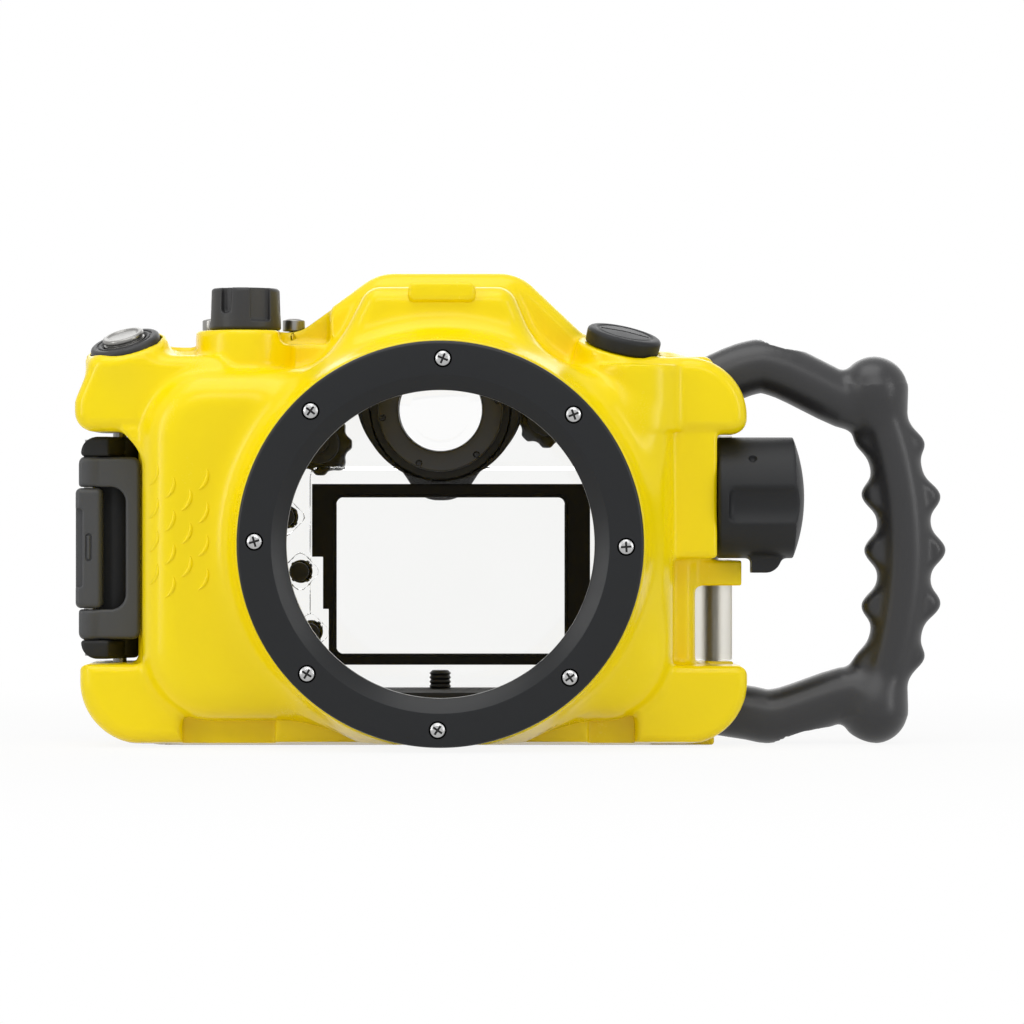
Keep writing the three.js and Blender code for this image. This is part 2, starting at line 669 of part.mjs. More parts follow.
// Latch hook: an eye on the pin, a rear arm with its lip, ears for the lever pin
function latchHook() {
  const { armInner, armOuter, lipInner, lipBack, armBack, outer, front, shoulder } = hook;
  const ribBack = catchRib.back + 2 * seatGap;
  const arm = [
    [armOuter, shoulder, 0], [armInner, shoulder, 0], [armInner, ribBack, 0],
    [lipInner, ribBack, 0], [lipInner, lipBack, 0], [armInner, armBack, lug.rear],
    [armOuter, armBack, lug.edge],
  ];
  const root = [
    [outer, front, 0], [latch.x, front, 0], [latch.x, shoulder + latch.eye, 0],
    [armOuter, shoulder + latch.eye, 0], [outer, shoulder, 0],
  ];
  const earFront = leverPin.y - lever.knuckle;
  const ear = [
    [outer, earFront, lever.knuckle / 2], [leverPin.x + latch.eye, earFront, 0],
    [latch.x + latch.pin, front, 0], [latch.x, front + latch.eye, 0], [outer, front + latch.eye, 0],
  ];
  const clear = seatGap + runningGap;
  const body = join(
    slab(arm, latch.bottom, latch.top),
    slab(root, latch.bottom, latch.top),
    post(latch.x, latch.y, latch.eye, latch.bottom, latch.top, middleSides),
    slab(ear, latch.bottom, lever.bottom - seatGap),
    slab(ear, lever.top + seatGap, latch.top),
  );
  return cut(
    body,
    post(latch.x, latch.y, latch.pin + runningGap, 0, latch.top + overrun, smallSides),
    post(leverPin.x, leverPin.y, leverPin.radius + runningGap, latch.bottom + clear,
      latch.top - clear, smallSides),
  );
}

// Lever: a framed plate that swings on the lever pin
function latchLever() {
  const windowBottom = lever.bottom + lever.knuckleHeight;
  const windowTop = lever.top - lever.knuckleHeight;
  const front = leverPin.y - lever.knuckle;
  const face = rectangle(leverPin.x, lever.right, lever.bottom, lever.top, lever.windowCorner);
  const hole = rectangle(leverPin.x - lever.knuckle - overrun, lever.windowRight, windowBottom,
    windowTop, lever.windowCorner);
  const knuckles = [[lever.bottom, windowBottom], [windowTop, lever.top]].map(([from, to]) => (
    post(leverPin.x, leverPin.y, lever.knuckle, from, to, smallSides)
  ));
  return cut(
    join(plate(face, front, front + lever.thickness), ...knuckles),
    plate(hole, front - overrun, leverPin.y + lever.knuckle + overrun),
    post(leverPin.x, leverPin.y, leverPin.radius + runningGap, 0, latch.top, smallSides),
  );
}

// Rocking lock between the lever's knuckles, with a finger recess on its edge
function latchLock() {
  const bottom = lever.bottom + lever.knuckleHeight + seatGap;
  const top = lever.top - lever.knuckleHeight - seatGap;
  const front = leverPin.y - lock.halfDepth;
  const rear = leverPin.y + lock.halfDepth;
  const plan = [
    [lock.left, front, lock.recess], [lock.right, front, lock.recess],
    [lock.right, rear, lock.halfDepth / 2], [lock.left, rear, lock.halfDepth],
  ];
  return cut(
    slab(plan, bottom, top),
    post(leverPin.x, leverPin.y, leverPin.radius + runningGap, 0, latch.top, smallSides),
    block(lock.left - overrun, lock.recessLeft, front - overrun, front + lock.recess,
      bottom + lock.recessEnd, top - lock.recessEnd),
  );
}

// Shutter release in its own leaning frame
function shutterBezel() {
  const half = shutter.bezelHeight / 2;
  const bore = shutter.button + runningGap;
  return turned([
    [bore, seatGap - half], [shutter.bezel, seatGap - half], [shutter.bezel, half - port.rimEdge],
    [shutter.bezel - port.rimEdge, half], [bore + port.rimEdge, half], [bore, half - port.rimEdge],
  ], middleSides);
}

function shutterButton() {
  const top = shutter.bezelHeight / 2 + shutter.proud;
  const foot = -shutter.footDepth;
  return turned([
    [0, foot - shutter.footHeight], [shutter.foot, foot - shutter.footHeight],
    [shutter.foot, foot], [shutter.stem, foot], [shutter.stem, top - shutter.skirt],
    [shutter.button, top - shutter.skirt], [shutter.button, top - port.rimEdge],
    [shutter.button - port.rimEdge, top], [0, top],
  ], middleSides);
}

// A plain sleeve that a light coil spring fills, round a stem
function springSleeve(stem, bottom, top) {
  const inner = stem + runningGap;
  const outer = inner + springWall;
  return turned([[inner, bottom], [outer, bottom], [outer, top], [inner, top]], smallSides);
}

// Mode knob with flutes cut down from its top, alternately narrow and wide
function modeKnobBody() {
  const bottom = plateauSeat;
  const top = bottom + modeKnob.height;
  const steps = Array.from({ length: 2 * modeKnob.flutes }, (_, k) => k);
  const flutes = steps.map((k) => {
    const isNarrow = k % 2 === 0;
    const half = (isNarrow ? modeKnob.narrow : modeKnob.wide) / 2;
    const rise = bottom + (isNarrow ? modeKnob.narrowRise : modeKnob.wideRise);
    const inner = modeKnob.radius - modeKnob.deep;
    const angle = (k / steps.length) * fullTurn + THREE.MathUtils.degToRad(modeKnob.turn);
    return block(inner, modeKnob.radius + overrun, -half, half, rise, top + overrun)
      .rotateZ(angle).translate(modeKnob.x, modeKnob.y, 0);
  });
  return cut(
    post(modeKnob.x, modeKnob.y, modeKnob.radius, bottom, top, middleSides),
    ...flutes,
    post(modeKnob.x, modeKnob.y, modeShaft.radius + runningGap, 0, top - modeKnob.roof,
      smallSides),
  );
}

function modeCupBody() {
  const { x, y } = modeKnob;
  const bottom = cupTop - modeCup.height;
  return cut(
    post(x, y, modeCup.radius, bottom, cupTop, middleSides),
    post(x, y, modeShaft.radius + seatGap, cupTop - modeCup.socket, cupTop + overrun, smallSides),
    post(x, y, modeCup.radius - modeCup.skirt, bottom - overrun, bottom + modeCup.skirt,
      middleSides),
  );
}

// A sprung push button: cap, stem and the foot that keeps it in
function deckButton(x) {
  const { y, cap, capHeight, top, stem, foot, footHeight } = topButton;
  const footTop = flangeRoof - seatGap;
  return join(
    post(x, y, cap, top - capHeight, top, smallSides),
    post(x, y, stem, footTop - footHeight, top - capHeight / 2, smallSides),
    post(x, y, foot, footTop - footHeight, footTop, smallSides),
  );
}

function portPlug() {
  const half = plug.height / 2;
  const seat = seatGap - half;
  const body = turned([
    [0, -plug.threadLength], [plug.thread, -plug.threadLength], [plug.thread, seat],
    [plug.head, seat], [plug.head, half - port.rimEdge], [plug.head - port.rimEdge, half],
    [0, half],
  ], middleSides);
  const slotHalf = plug.thread + plug.slot / 2;
  const slot = block(-slotHalf, slotHalf, -plug.slot / 2, plug.slot / 2, half - plug.slotDepth,
    half + overrun);
  const grooveTop = seat + 2 * plug.sealSection + seatGap;
  const grooveOuter = plug.thread + 2 * plug.sealSection + 2 * seatGap;
  const groove = turned([
    [plug.thread, seat - overrun], [grooveOuter, seat - overrun], [grooveOuter, grooveTop],
    [plug.thread, grooveTop],
  ], middleSides);
  return cut(body, slot, groove);
}

function plugSealRing() {
  const seat = seatGap - plug.height / 2;
  return sealRing(plug.thread + plug.sealSection + seatGap, plug.sealSection,
    seat + plug.sealSection);
}

// Focus knob: broad grooves round it, a thumb tab, a slightly domed end
function focusKnob() {
  const start = focus.bossEnd + seatGap;
  const { y, z } = focus;
  const body = turned([
    [0, start], [focus.knob, start], [focus.knob, focus.knobEnd - focus.dome],
    [focus.knob * focus.domeShare, focus.knobEnd], [0, focus.knobEnd + focus.dome / 2],
  ], largeSides).rotateY(quarter).translate(0, y, z);
  const steps = Array.from({ length: focus.grooves }, (_, k) => k);
  const grooves = steps.map((k) => {
    const angle = (k / focus.grooves) * fullTurn + THREE.MathUtils.degToRad(focus.grooveTurn);
    return block(start + focus.grooveInset, focus.knobEnd + 2 * focus.dome,
      -focus.grooveWidth / 2, focus.grooveWidth / 2, focus.knob - focus.grooveDepth,
      focus.knob + overrun).rotateX(angle).translate(0, y, z);
  });
  const tab = block(focus.tabLeft, focus.tabRight, y - focus.tabWidth / 2,
    y + focus.tabWidth / 2, z - focus.tabReach, z - focus.knob / 2);
  return cut(
    join(cut(body, ...grooves), tab),
    bar([start - overrun, y, z], [start + focus.bore, y, z], focus.shaft + runningGap, smallSides),
  );
}

// Toothed wheel that turns the lens gear
function focusGear() {
  const corners = Array.from({ length: focus.teeth }, (_, k) => {
    const angle = (k / focus.teeth) * fullTurn;
    const half = (focus.toothShare * fullTurn) / focus.teeth;
    const low = focus.gear - focus.toothDepth;
    return [
      [low * Math.cos(angle - half), low * Math.sin(angle - half)],
      [focus.gear * Math.cos(angle - half / 2), focus.gear * Math.sin(angle - half / 2)],
      [focus.gear * Math.cos(angle + half / 2), focus.gear * Math.sin(angle + half / 2)],
      [low * Math.cos(angle + half), low * Math.sin(angle + half)],
    ];
  }).flat();
  const wheel = slab(corners, focus.gearStart, focus.gearStart + focus.gearWidth);
  return cut(
    wheel.rotateY(quarter).translate(0, focus.y, focus.z),
    bar([0, focus.y, focus.z], [focus.knobEnd, focus.y, focus.z], focus.shaft + runningGap,
      smallSides),
  );
}

function focusClip() {
  const start = [focus.clipStart, focus.y, focus.z];
  const end = [focus.clipStart + shaftClip.thickness, focus.y, focus.z];
  return cut(
    bar(start, end, focus.shaft + shaftClip.radius / 2, middleSides),
    bar([0, focus.y, focus.z], [focus.knobEnd, focus.y, focus.z], focus.shaft + runningGap,
      smallSides),
  );
}

// A round arm along a curve in X and Z, with its section across Y
function arm({ root, near, far, elbow, knuckle }) {
  const { start, nearX, farX, elbowInset, y } = handle;
  const curve = new THREE.CatmullRomCurve3([
    [start, root], [nearX, near], [farX, far], [knuckleX - elbowInset, elbow],
    [knuckleX, knuckle],
  ].map(([x, z]) => new THREE.Vector3(x, y, z)));
  const sides = smallSides;
  const rings = Array.from({ length: armSteps + 1 }, (_, i) => {
    const centre = curve.getPoint(i / armSteps);
    const along = curve.getTangent(i / armSteps);
    const across = new THREE.Vector3(-along.z, 0, along.x);
    return Array.from({ length: sides }, (__, k) => {
      const angle = (k / sides) * fullTurn;
      const ring = centre.clone().addScaledVector(across, handle.armHalfDepth * Math.cos(angle));
      ring.y += handle.halfThickness * Math.sin(angle);
      return ring;
    });
  });
  return loft(rings);
}

// Grip: an upright bow whose width swells into a ripple for each finger
function gripBody() {
  const sides = smallSides;
  const rings = Array.from({ length: gripSteps + 1 }, (_, i) => {
    const share = (2 * i) / gripSteps - 1;
    const square = share ** 2;
    const rise = share * grip.halfHeight;
    const wave = Math.cos((rise / grip.pitch) * fullTurn);
    const half = grip.halfWidth - grip.taper * square + grip.ripple * wave * (1 - square ** 2);
    const centre = grip.x - grip.bow * square;
    return Array.from({ length: sides }, (__, k) => {
      const angle = (k / sides) * fullTurn;
      return new THREE.Vector3(
        centre + half * Math.cos(angle),
        handle.y + handle.halfThickness * Math.sin(angle),
        grip.middle + rise,
      );
    });
  });
  return loft(rings);
}

function handleBody() {
  const ball = (z) => {
    const sphere = new THREE.SphereGeometry(handle.knuckle, smallSides, smallSides / 2);
    return sphere.rotateX(quarter).translate(knuckleX, handle.y, z);
  };
  const inner = block(0, handleRoot, handle.y - handle.knuckle - overrun,
    handle.y + handle.knuckle + overrun, -overrun, humpTop);
  const pockets = [boltLines.top, boltLines.bottom].map((line) => join(
    boltHole(line, handleBolt.grip - seatGap, handleBolt.pocket, handleBolt.head + seatGap),
    boltHole(line, -overrun, handleBolt.grip + overrun, handleBolt.shank + runningGap),
  ));
  const whole = join(arm(topArm), arm(bottomArm), gripBody(), ball(topArm.knuckle),
    ball(bottomArm.knuckle));
  return cut(whole, inner, ...pockets);
}

function handleBoltBody(line) {
  const headEnd = handleBolt.grip + handleBolt.headHeight;
  return cut(
    join(
      boltHole(line, handleBolt.grip, headEnd, handleBolt.head),
      boltHole(line, -handleBolt.reach, handleBolt.grip + handleBolt.headHeight / 2,
        handleBolt.shank),
    ),
    bar(line(headEnd - handleBolt.socketDepth), line(headEnd + overrun), handleBolt.socket,
      hexSides),
  );
}

// Rear cover: tray shape with hinge knuckles, catch rib, finder hood and bosses
function rearCover() {
  const straightEnd = cover.back - cover.edge;
  const knuckles = [
    [lugLowRight.top + seatGap, lugMidRight.bottom - seatGap],
    [lugMidRight.top + seatGap, lugHighRight.bottom - seatGap],
  ].map(([bottom, top]) => join(
    post(hinge.x, hinge.y, hinge.knuckle, bottom, top, middleSides),
    block(hinge.webFrom, hinge.x, cover.front, hinge.y + hinge.knuckle, bottom, top),
  ));
  const coverLeft = shell.left + cover.inset;
  const rib = block(coverLeft - catchRib.reach, coverLeft + cover.wall / 2, catchRib.front,
    catchRib.back, catchRib.bottom, catchRib.top);
  const bosses = rearButtons.map(({ x, z }) => (
    stud(x, z, rearButton.boss, coverInner, cover.back + rearButton.bossHeight, middleSides)
  ));
  const grooves = cut(
    plate(inset(coverCorners, cover.grooveInset), cover.front - overrun,
      cover.front + cover.grooveDepth),
    plate(inset(coverCorners, cover.grooveInset + cover.grooveWidth),
      cover.front - 2 * overrun, cover.front + cover.grooveDepth + overrun),
  );
  const shafts = dialPlaces.map(({ x, z }) => (
    stud(x, z, dial.shaft + runningGap, 0, cover.back + overrun, smallSides)
  ));
  const stems = rearButtons.map(({ x, z }) => (
    stud(x, z, rearButton.stem + runningGap, 0, cover.back + 2 * overrun, smallSides)
  ));
  const hoodEnd = cover.back + finder.hoodLength;
  return cut(
    join(
      plate(coverCorners, cover.front, straightEnd),
      plate(coverCorners, straightEnd - 2 * cover.edge, cover.back, cover.edge),
      stud(finder.x, finderHeight, finder.hood, coverInner, hoodEnd, largeSides),
      rib, ...knuckles, ...bosses,
    ),
    plate(inset(coverCorners, cover.wall), -overrun, coverInner),
    grooves,
    stud(finder.x, finderHeight, finder.coverHole, 0, hoodEnd + overrun, middleSides),
    post(hinge.x, hinge.y, hinge.pin + runningGap, 0, hinge.earTop, smallSides),
    ...shafts,
    ...stems,
  );
}

// Cover seal: a band in the cover's groove, all round the outline
function coverSealBand() {
  const front = cover.front - seatGap;
  const back = cover.front + cover.grooveDepth - seatGap;
  const outer = cover.grooveInset + seatGap;
  const inner = cover.grooveInset + cover.grooveWidth - seatGap;
  return cut(
    plate(inset(coverCorners, outer), front, back),
    plate(inset(coverCorners, inner), front - overrun, back + overrun),
  );
}

// Viewfinder bezel: a rim with a pocket for its window, on a flange with a flat foot
function finderBezel() {
  const front = finder.bezelFront;
  const pocketFloor = front + finder.windowDepth + seatGap;
  const flatFoot = finderHeight - finder.flat;
  const flange = cut(
    stud(finder.x, flangeHeight, finder.flange, front + finder.rimDepth / 2,
      coverInner - seatGap, largeSides),
    block(2 * shell.left, 2 * shell.right, 0, cover.back, 0, flatFoot),
  );
  return cut(
    join(
      flange,
      stud(finder.x, finderHeight + finder.rimRise, finder.rim, front,
        front + finder.rimDepth, largeSides),
    ),
    stud(finder.x, finderHeight, finder.window + seatGap, front - overrun, pocketFloor,
      middleSides),
    stud(finder.x, finderHeight, finder.hole, front, cover.back, middleSides),
  );
}

// Eyecup: an oval rubber rim behind the cover, round the hood
function eyecupBody() {
  const front = cover.back + seatGap;
  const shape = rectangle(finder.x - eyecup.halfWidth, finder.x + eyecup.halfWidth,
    finderHeight - eyecup.below, finderHeight + eyecup.above, eyecup.corner);
  return cut(
    plate(shape, front, front + eyecup.thickness),
    stud(finder.x, finderHeight, finder.hood + seatGap, 0, front + cover.back, largeSides),
  );
}

function screenFrame() {
  const { left, right, bottom, corner, highStep, lowStep } = screenMask;
  const back = coverInner - seatGap;
  const frame = [
    [left + screenMask.lowStepWidth, bottom, 0], [right, bottom, 0], [right, maskTop, 0],
    [left, maskTop, 0], [left, highStep, 0], [left + screenMask.highStepWidth, highStep, 0],
    [left + screenMask.highStepWidth, lowStep, 0], [left + screenMask.lowStepWidth, lowStep, 0],
  ];
  const glass = rectangle(screenMask.windowLeft, screenMask.windowRight,
    screenMask.windowBottom, maskTop - screenMask.topBar, corner);
  return cut(
    plate(frame, back - screenMask.thickness, back),
    plate(glass, back - screenMask.thickness - overrun, back + overrun),
  );
}

// Rear dial: lobed knob outside, shaft through the cover, wheel inside
function rearDial({ x, z }) {
  const knobFront = cover.back + seatGap;
  const lobes = Array.from({ length: dial.lobes }, (_, k) => {
    const angle = (k / dial.lobes) * fullTurn;
    const reach = dial.radius + dial.lobeDepth;
    return stud(x + reach * Math.cos(angle), z + reach * Math.sin(angle),
      2 * dial.lobeDepth, knobFront - overrun, knobFront + dial.height + overrun, smallSides);
  });
  const wheelBack = coverInner - seatGap;
  return join(
    cut(stud(x, z, dial.radius, knobFront, knobFront + dial.height, middleSides), ...lobes),
    stud(x, z, dial.shaft, wheelBack - dial.wheelThickness / 2, knobFront + dial.height / 2,
      smallSides),
    stud(x, z, dial.wheel, wheelBack - dial.wheelThickness, wheelBack, middleSides),
  );
}

function rearPushButton({ x, z }) {
  const capBack = cover.back + rearButton.proud;
  const footBack = coverInner - seatGap;
  return join(
    stud(x, z, rearButton.cap, capBack - rearButton.capHeight, capBack, middleSides),
    stud(x, z, rearButton.stem, footBack - rearButton.footHeight / 2,
      capBack - rearButton.capHeight / 2, smallSides),
    stud(x, z, rearButton.foot, footBack - rearButton.footHeight, footBack, middleSides),
  );
}

function rearSpringSleeve({ x, z }) {
  const front = cover.back + rearButton.bossHeight + seatGap;
  const back = cover.back + rearButton.proud - rearButton.capHeight - seatGap;
  return springSleeve(rearButton.stem, -back, -front).rotateX(quarter).translate(x, 0, z);
}

// Camera tray on the floor of the bay, drilled for the camera screw
function cameraTray() {
  const plan = [
    [tray.left, -tray.front, tray.corner], [tray.right, -tray.front, tray.corner],
    [tray.right, -tray.rear, tray.corner], [tray.left, -tray.rear, tray.corner],
  ];
  return cut(
    slab(plan, floorHeight + seatGap, tray.top),
    post(cameraScrew.x, cameraScrew.y, cameraScrew.shank + runningGap, 0, tray.top + overrun,
      smallSides),
  );
}

function cameraScrewBody() {
  const { x, y, shank, head, headHeight, slot, top } = cameraScrew;
  const headTop = floorHeight;
  const headBottom = headTop - headHeight;
  return cut(
    join(
      post(x, y, head, headBottom, headTop, middleSides),
      post(x, y, shank, headTop - headHeight / 2, top, smallSides),
    ),
    block(x - head - overrun, x + head + overrun, y - slot / 2, y + slot / 2,
      headBottom - overrun, headBottom + headHeight / 2),
  );
}

// Finishes: colour, roughness and metalness of each material
const finishes = {
  yellow: { color: 0xf6dc01, roughness: 0.35, metalness: 0 },
  anodised: { color: 0x34383b, roughness: 0.4, metalness: 0.6 },
  knobBlack: { color: 0x262626, roughness: 0.5, metalness: 0 },
  handleGrey: { color: 0x3c3c3d, roughness: 0.55, metalness: 0 },
  latchGrey: { color: 0x4b4b4b, roughness: 0.5, metalness: 0 },
  steel: { color: 0xa3a29c, roughness: 0.25, metalness: 1 },
  brass: { color: 0xb08d4a, roughness: 0.35, metalness: 1 },
  rubber: { color: 0x1c1c1c, roughness: 0.8, metalness: 0 },
  clear: { color: 0xeff0ee, roughness: 0.08, metalness: 0, transparent: true, opacity: 0.35 },
};

const housing = new THREE.Group();

function frontPieces() {
  return [
    piece('front_shell', frontShell(), finishes.yellow),
    piece('port_ring', portRing(), finishes.anodised),
    piece('port_seal', portSealRing(), finishes.rubber),
    ...screwPlaces.map((place, k) => (
      piece(`port_screw_${k + 1}`, crossScrew(place), finishes.steel)
    )),
    piece('tripod_insert', ringAlongZ(0, insert.y, insert.radius, insert.bore, seatGap,
      insert.height + seatGap, middleSides), finishes.brass),
  ];
}

function latchPieces() {
  const { x, y, pin, pinBottom, pinTop } = latch;
  const pinEnd = 2 * seatGap + runningGap;
  return [
    piece('latch_pin', post(x, y, pin, pinBottom, pinTop, smallSides), finishes.steel),
    piece('latch_hook', latchHook(), finishes.knobBlack),
    piece('lever_pin', post(leverPin.x, leverPin.y, leverPin.radius, latch.bottom + pinEnd,
      latch.top - pinEnd, smallSides), finishes.steel),
    piece('latch_lever', latchLever(), finishes.latchGrey),
    piece('latch_lock', latchLock(), finishes.latchGrey),
  ];
}

function topPieces() {
  const { x, y } = modeKnob;
  const knobTop = plateauSeat + modeKnob.height;
  const clipTop = bulgeRoof - seatGap;
  const springBottom = plateau.top - topButton.wellDepth + seatGap;
  const springTop = topButton.top - topButton.capHeight - seatGap;
  const buttons = Object.entries({ left: topButton.xLeft, right: topButton.xRight });
  return [
    piece('mode_knob', modeKnobBody(), finishes.knobBlack),
    piece('mode_shaft', post(x, y, modeShaft.radius, cupTop - modeCup.socket + seatGap,
      knobTop - modeKnob.roof - seatGap, smallSides), finishes.steel),
    piece('mode_cup', modeCupBody(), finishes.rubber),
    piece('mode_clip', ringAlongZ(x, y, shaftClip.radius, modeShaft.radius + runningGap,
      clipTop - shaftClip.thickness, clipTop, middleSides), finishes.steel),
    ...buttons.map(([side, at]) => (
      piece(`top_button_${side}`, deckButton(at), finishes.steel)
    )),
    ...buttons.map(([side, at]) => piece(
      `top_spring_${side}`,
      springSleeve(topButton.stem, springBottom, springTop).translate(at, topButton.y, 0),
      finishes.steel,
    )),
  ];
}

function leaningPieces() {
  const half = shutter.bezelHeight / 2;
  shutterFrame.add(
    piece('shutter_bezel', shutterBezel(), finishes.knobBlack),
    piece('shutter_button', shutterButton(), finishes.steel),
    piece('shutter_spring', springSleeve(shutter.stem, seatGap - half - shutter.well,
      half + shutter.proud - shutter.skirt - seatGap), finishes.steel),
  );
  plugFrame.add(
    piece('port_plug', portPlug(), finishes.knobBlack),
    piece('plug_seal', plugSealRing(), finishes.rubber),
  );
  return [shutterFrame, plugFrame];
}

function sidePieces() {
  const { y, z, shaft, shaftStart, bossEnd, bore } = focus;
  return [
    piece('focus_knob', focusKnob(), finishes.knobBlack),
    piece('focus_shaft', bar([shaftStart, y, z], [bossEnd + bore, y, z], shaft, smallSides),
      finishes.steel),
    piece('focus_gear', focusGear(), finishes.rubber),
    piece('focus_clip', focusClip(), finishes.steel),
    piece('handle', handleBody(), finishes.handleGrey),
    ...Object.entries(boltLines).map(([end, line]) => (
      piece(`handle_bolt_${end}`, handleBoltBody(line), finishes.steel)
    )),
  ];
}

function coverPieces() {
  const windowFront = finder.bezelFront;
  return [
    piece('rear_cover', rearCover(), finishes.clear),
    piece('cover_seal', coverSealBand(), finishes.rubber),
    piece('hinge_pin', post(hinge.x, hinge.y, hinge.pin, hinge.pinBottom, hinge.pinTop,
      smallSides), finishes.steel),
    piece('viewfinder_bezel', finderBezel(), finishes.knobBlack),
    piece('viewfinder_window', stud(finder.x, finderHeight, finder.window, windowFront,
      windowFront + finder.windowDepth, middleSides), finishes.clear),
    piece('viewfinder_retainer', ringAlongY(finder.x, finderHeight, finder.retainer, finder.hole,
      windowFront - seatGap - finder.retainerThickness, windowFront - seatGap, middleSides),
    finishes.knobBlack),
    piece('viewfinder_eyecup', eyecupBody(), finishes.rubber),
    piece('lcd_mask', screenFrame(), finishes.knobBlack),
    piece('dial_left', rearDial(dialPlaces[0]), finishes.knobBlack),
    piece('dial_right', rearDial(dialPlaces[1]), finishes.knobBlack),
    ...rearButtons.map((place, k) => (
      piece(`rear_button_${k + 1}`, rearPushButton(place), finishes.knobBlack)
    )),
    ...rearButtons.map((place, k) => (
      piece(`rear_spring_${k + 1}`, rearSpringSleeve(place), finishes.steel)
    )),
  ];
}

function insidePieces() {
  const { x, y, length, width, height } = leakSensor;
  const sensorBottom = shell.wall + seatGap;
  return [
    piece('camera_tray', cameraTray(), finishes.knobBlack),
    piece('camera_screw', cameraScrewBody(), finishes.steel),
    piece('leak_sensor', block(x - length / 2, x + length / 2, y - width / 2, y + width / 2,
      sensorBottom, sensorBottom + height), finishes.knobBlack),
  ];
}

housing.add(
  ...frontPieces(),
  ...latchPieces(),
  ...topPieces(),
  ...leaningPieces(),
  ...sidePieces(),
  ...coverPieces(),
  ...insidePieces(),
);

export default housing;
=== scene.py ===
"""Looks of an underwater camera housing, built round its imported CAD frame.

Shapes are worked out in millimetres and turned into metres where a mesh is made.
X runs to the right seen from the port, Y from the port to the rear cover, Z up.
"""
import json
import logging
import math
from dataclasses import dataclass
from enum import Enum
from functools import reduce
from itertools import product
from typing import Callable, Sequence

import bmesh
import bpy
import numpy as np
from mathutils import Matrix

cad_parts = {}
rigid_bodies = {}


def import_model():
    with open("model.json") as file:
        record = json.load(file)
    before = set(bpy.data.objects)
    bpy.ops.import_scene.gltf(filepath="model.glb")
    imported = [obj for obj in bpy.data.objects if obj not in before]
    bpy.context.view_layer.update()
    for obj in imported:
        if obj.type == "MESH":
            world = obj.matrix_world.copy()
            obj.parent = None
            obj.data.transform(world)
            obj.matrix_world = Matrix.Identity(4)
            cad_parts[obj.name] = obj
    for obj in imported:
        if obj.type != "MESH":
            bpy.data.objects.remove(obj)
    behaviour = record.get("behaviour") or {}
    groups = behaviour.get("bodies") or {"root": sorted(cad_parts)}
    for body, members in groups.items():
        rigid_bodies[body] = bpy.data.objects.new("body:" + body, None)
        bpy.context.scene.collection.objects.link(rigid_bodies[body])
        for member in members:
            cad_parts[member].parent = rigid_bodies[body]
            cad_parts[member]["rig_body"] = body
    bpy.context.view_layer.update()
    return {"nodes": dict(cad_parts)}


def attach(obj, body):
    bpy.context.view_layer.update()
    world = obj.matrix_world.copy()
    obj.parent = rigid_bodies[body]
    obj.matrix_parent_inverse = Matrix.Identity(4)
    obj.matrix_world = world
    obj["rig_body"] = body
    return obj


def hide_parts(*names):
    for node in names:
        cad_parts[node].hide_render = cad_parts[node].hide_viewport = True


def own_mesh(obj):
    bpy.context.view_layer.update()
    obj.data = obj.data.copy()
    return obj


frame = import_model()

import openvdb
from mathutils import Vector

LOG = logging.getLogger("housing")
METRES = 0.001
Array = np.ndarray
Object = bpy.types.Object
Material = bpy.types.Material
Socket = bpy.types.NodeSocket
Spot = tuple[float, float]
Point = tuple[float, float, float]
Placing = Callable[[Array], Array]


class Axis(Enum):
    """The three directions that round and flat forms run along."""

    X = 0
    Y = 1
    Z = 2


# solids as signed distances


@dataclass(frozen=True)
class Solid:
    """A solid given by its signed distance in millimetres, negative inside.

    Args:
        distance: takes arrays of x, y and z that broadcast together.
    """

    distance: Callable[[Array, Array, Array], Array]

    def _with(self, other: "Solid", join: Callable[[Array, Array], Array]) -> "Solid":
        """A solid whose distance is made from this one's and another's."""
        return Solid(lambda *point: join(self.distance(*point), other.distance(*point)))

    def __or__(self, other: "Solid") -> "Solid":
        """Both solids together."""
        return self._with(other, np.minimum)

    def __and__(self, other: "Solid") -> "Solid":
        """What the two solids share."""
        return self._with(other, np.maximum)

    def __sub__(self, other: "Solid") -> "Solid":
        """This solid without the other."""
        return self._with(other, lambda a, b: np.maximum(a, -b))

    def blend(self, other: "Solid", fillet: float) -> "Solid":
        """Both solids with a fillet where they meet."""
        return self._with(other, lambda a, b: smooth_least(a, b, fillet))

    def carve(self, other: "Solid", edge: float) -> "Solid":
        """This solid without the other, the cut's edges eased."""
        return self._with(other, lambda a, b: -smooth_least(-a, b, edge))

    def within(self, other: "Solid", edge: float) -> "Solid":
        """What the two solids share, the edge between their walls rounded."""
        return self._with(other, lambda a, b: meet(a, b, edge))


def together(solids: Sequence[Solid]) -> Solid:
    """Several solids as one."""
    return reduce(Solid.__or__, solids)


def smooth_least(a: Array, b: Array, width: float) -> Array:
    """The lesser of two arrays, eased where they are nearly equal."""
    near = np.maximum(width - np.abs(a - b), 0.0) / width
    return np.minimum(a, b) - near * near * (width / 4)


def meet(first: Array, second: Array, edge: float) -> Array:
    """The corner that two walls make, rounded by edge."""
    a, b = first + edge, second + edge
    inside = np.minimum(np.maximum(a, b), 0.0)
    return inside + np.hypot(np.maximum(a, 0.0), np.maximum(b, 0.0)) - edge


def slab_distance(values: Array, low: float, high: float) -> Array:
    """Distance to the layer between two heights."""
    return np.abs(values - (low + high) / 2) - (high - low) / 2


def box(low: Point, high: Point, edge: float = 0.0) -> Solid:
    """A block between two corners, its edges rounded."""

    def distance(*point: Array) -> Array:
        """The rounded block's distance."""
        gaps = [slab_distance(v, a, b) + edge for v, a, b in zip(point, low, high)]
        out = np.sqrt(sum(np.maximum(g, 0.0) ** 2 for g in gaps))
        return out + np.minimum(reduce(np.maximum, gaps), 0.0) - edge

    return Solid(distance)


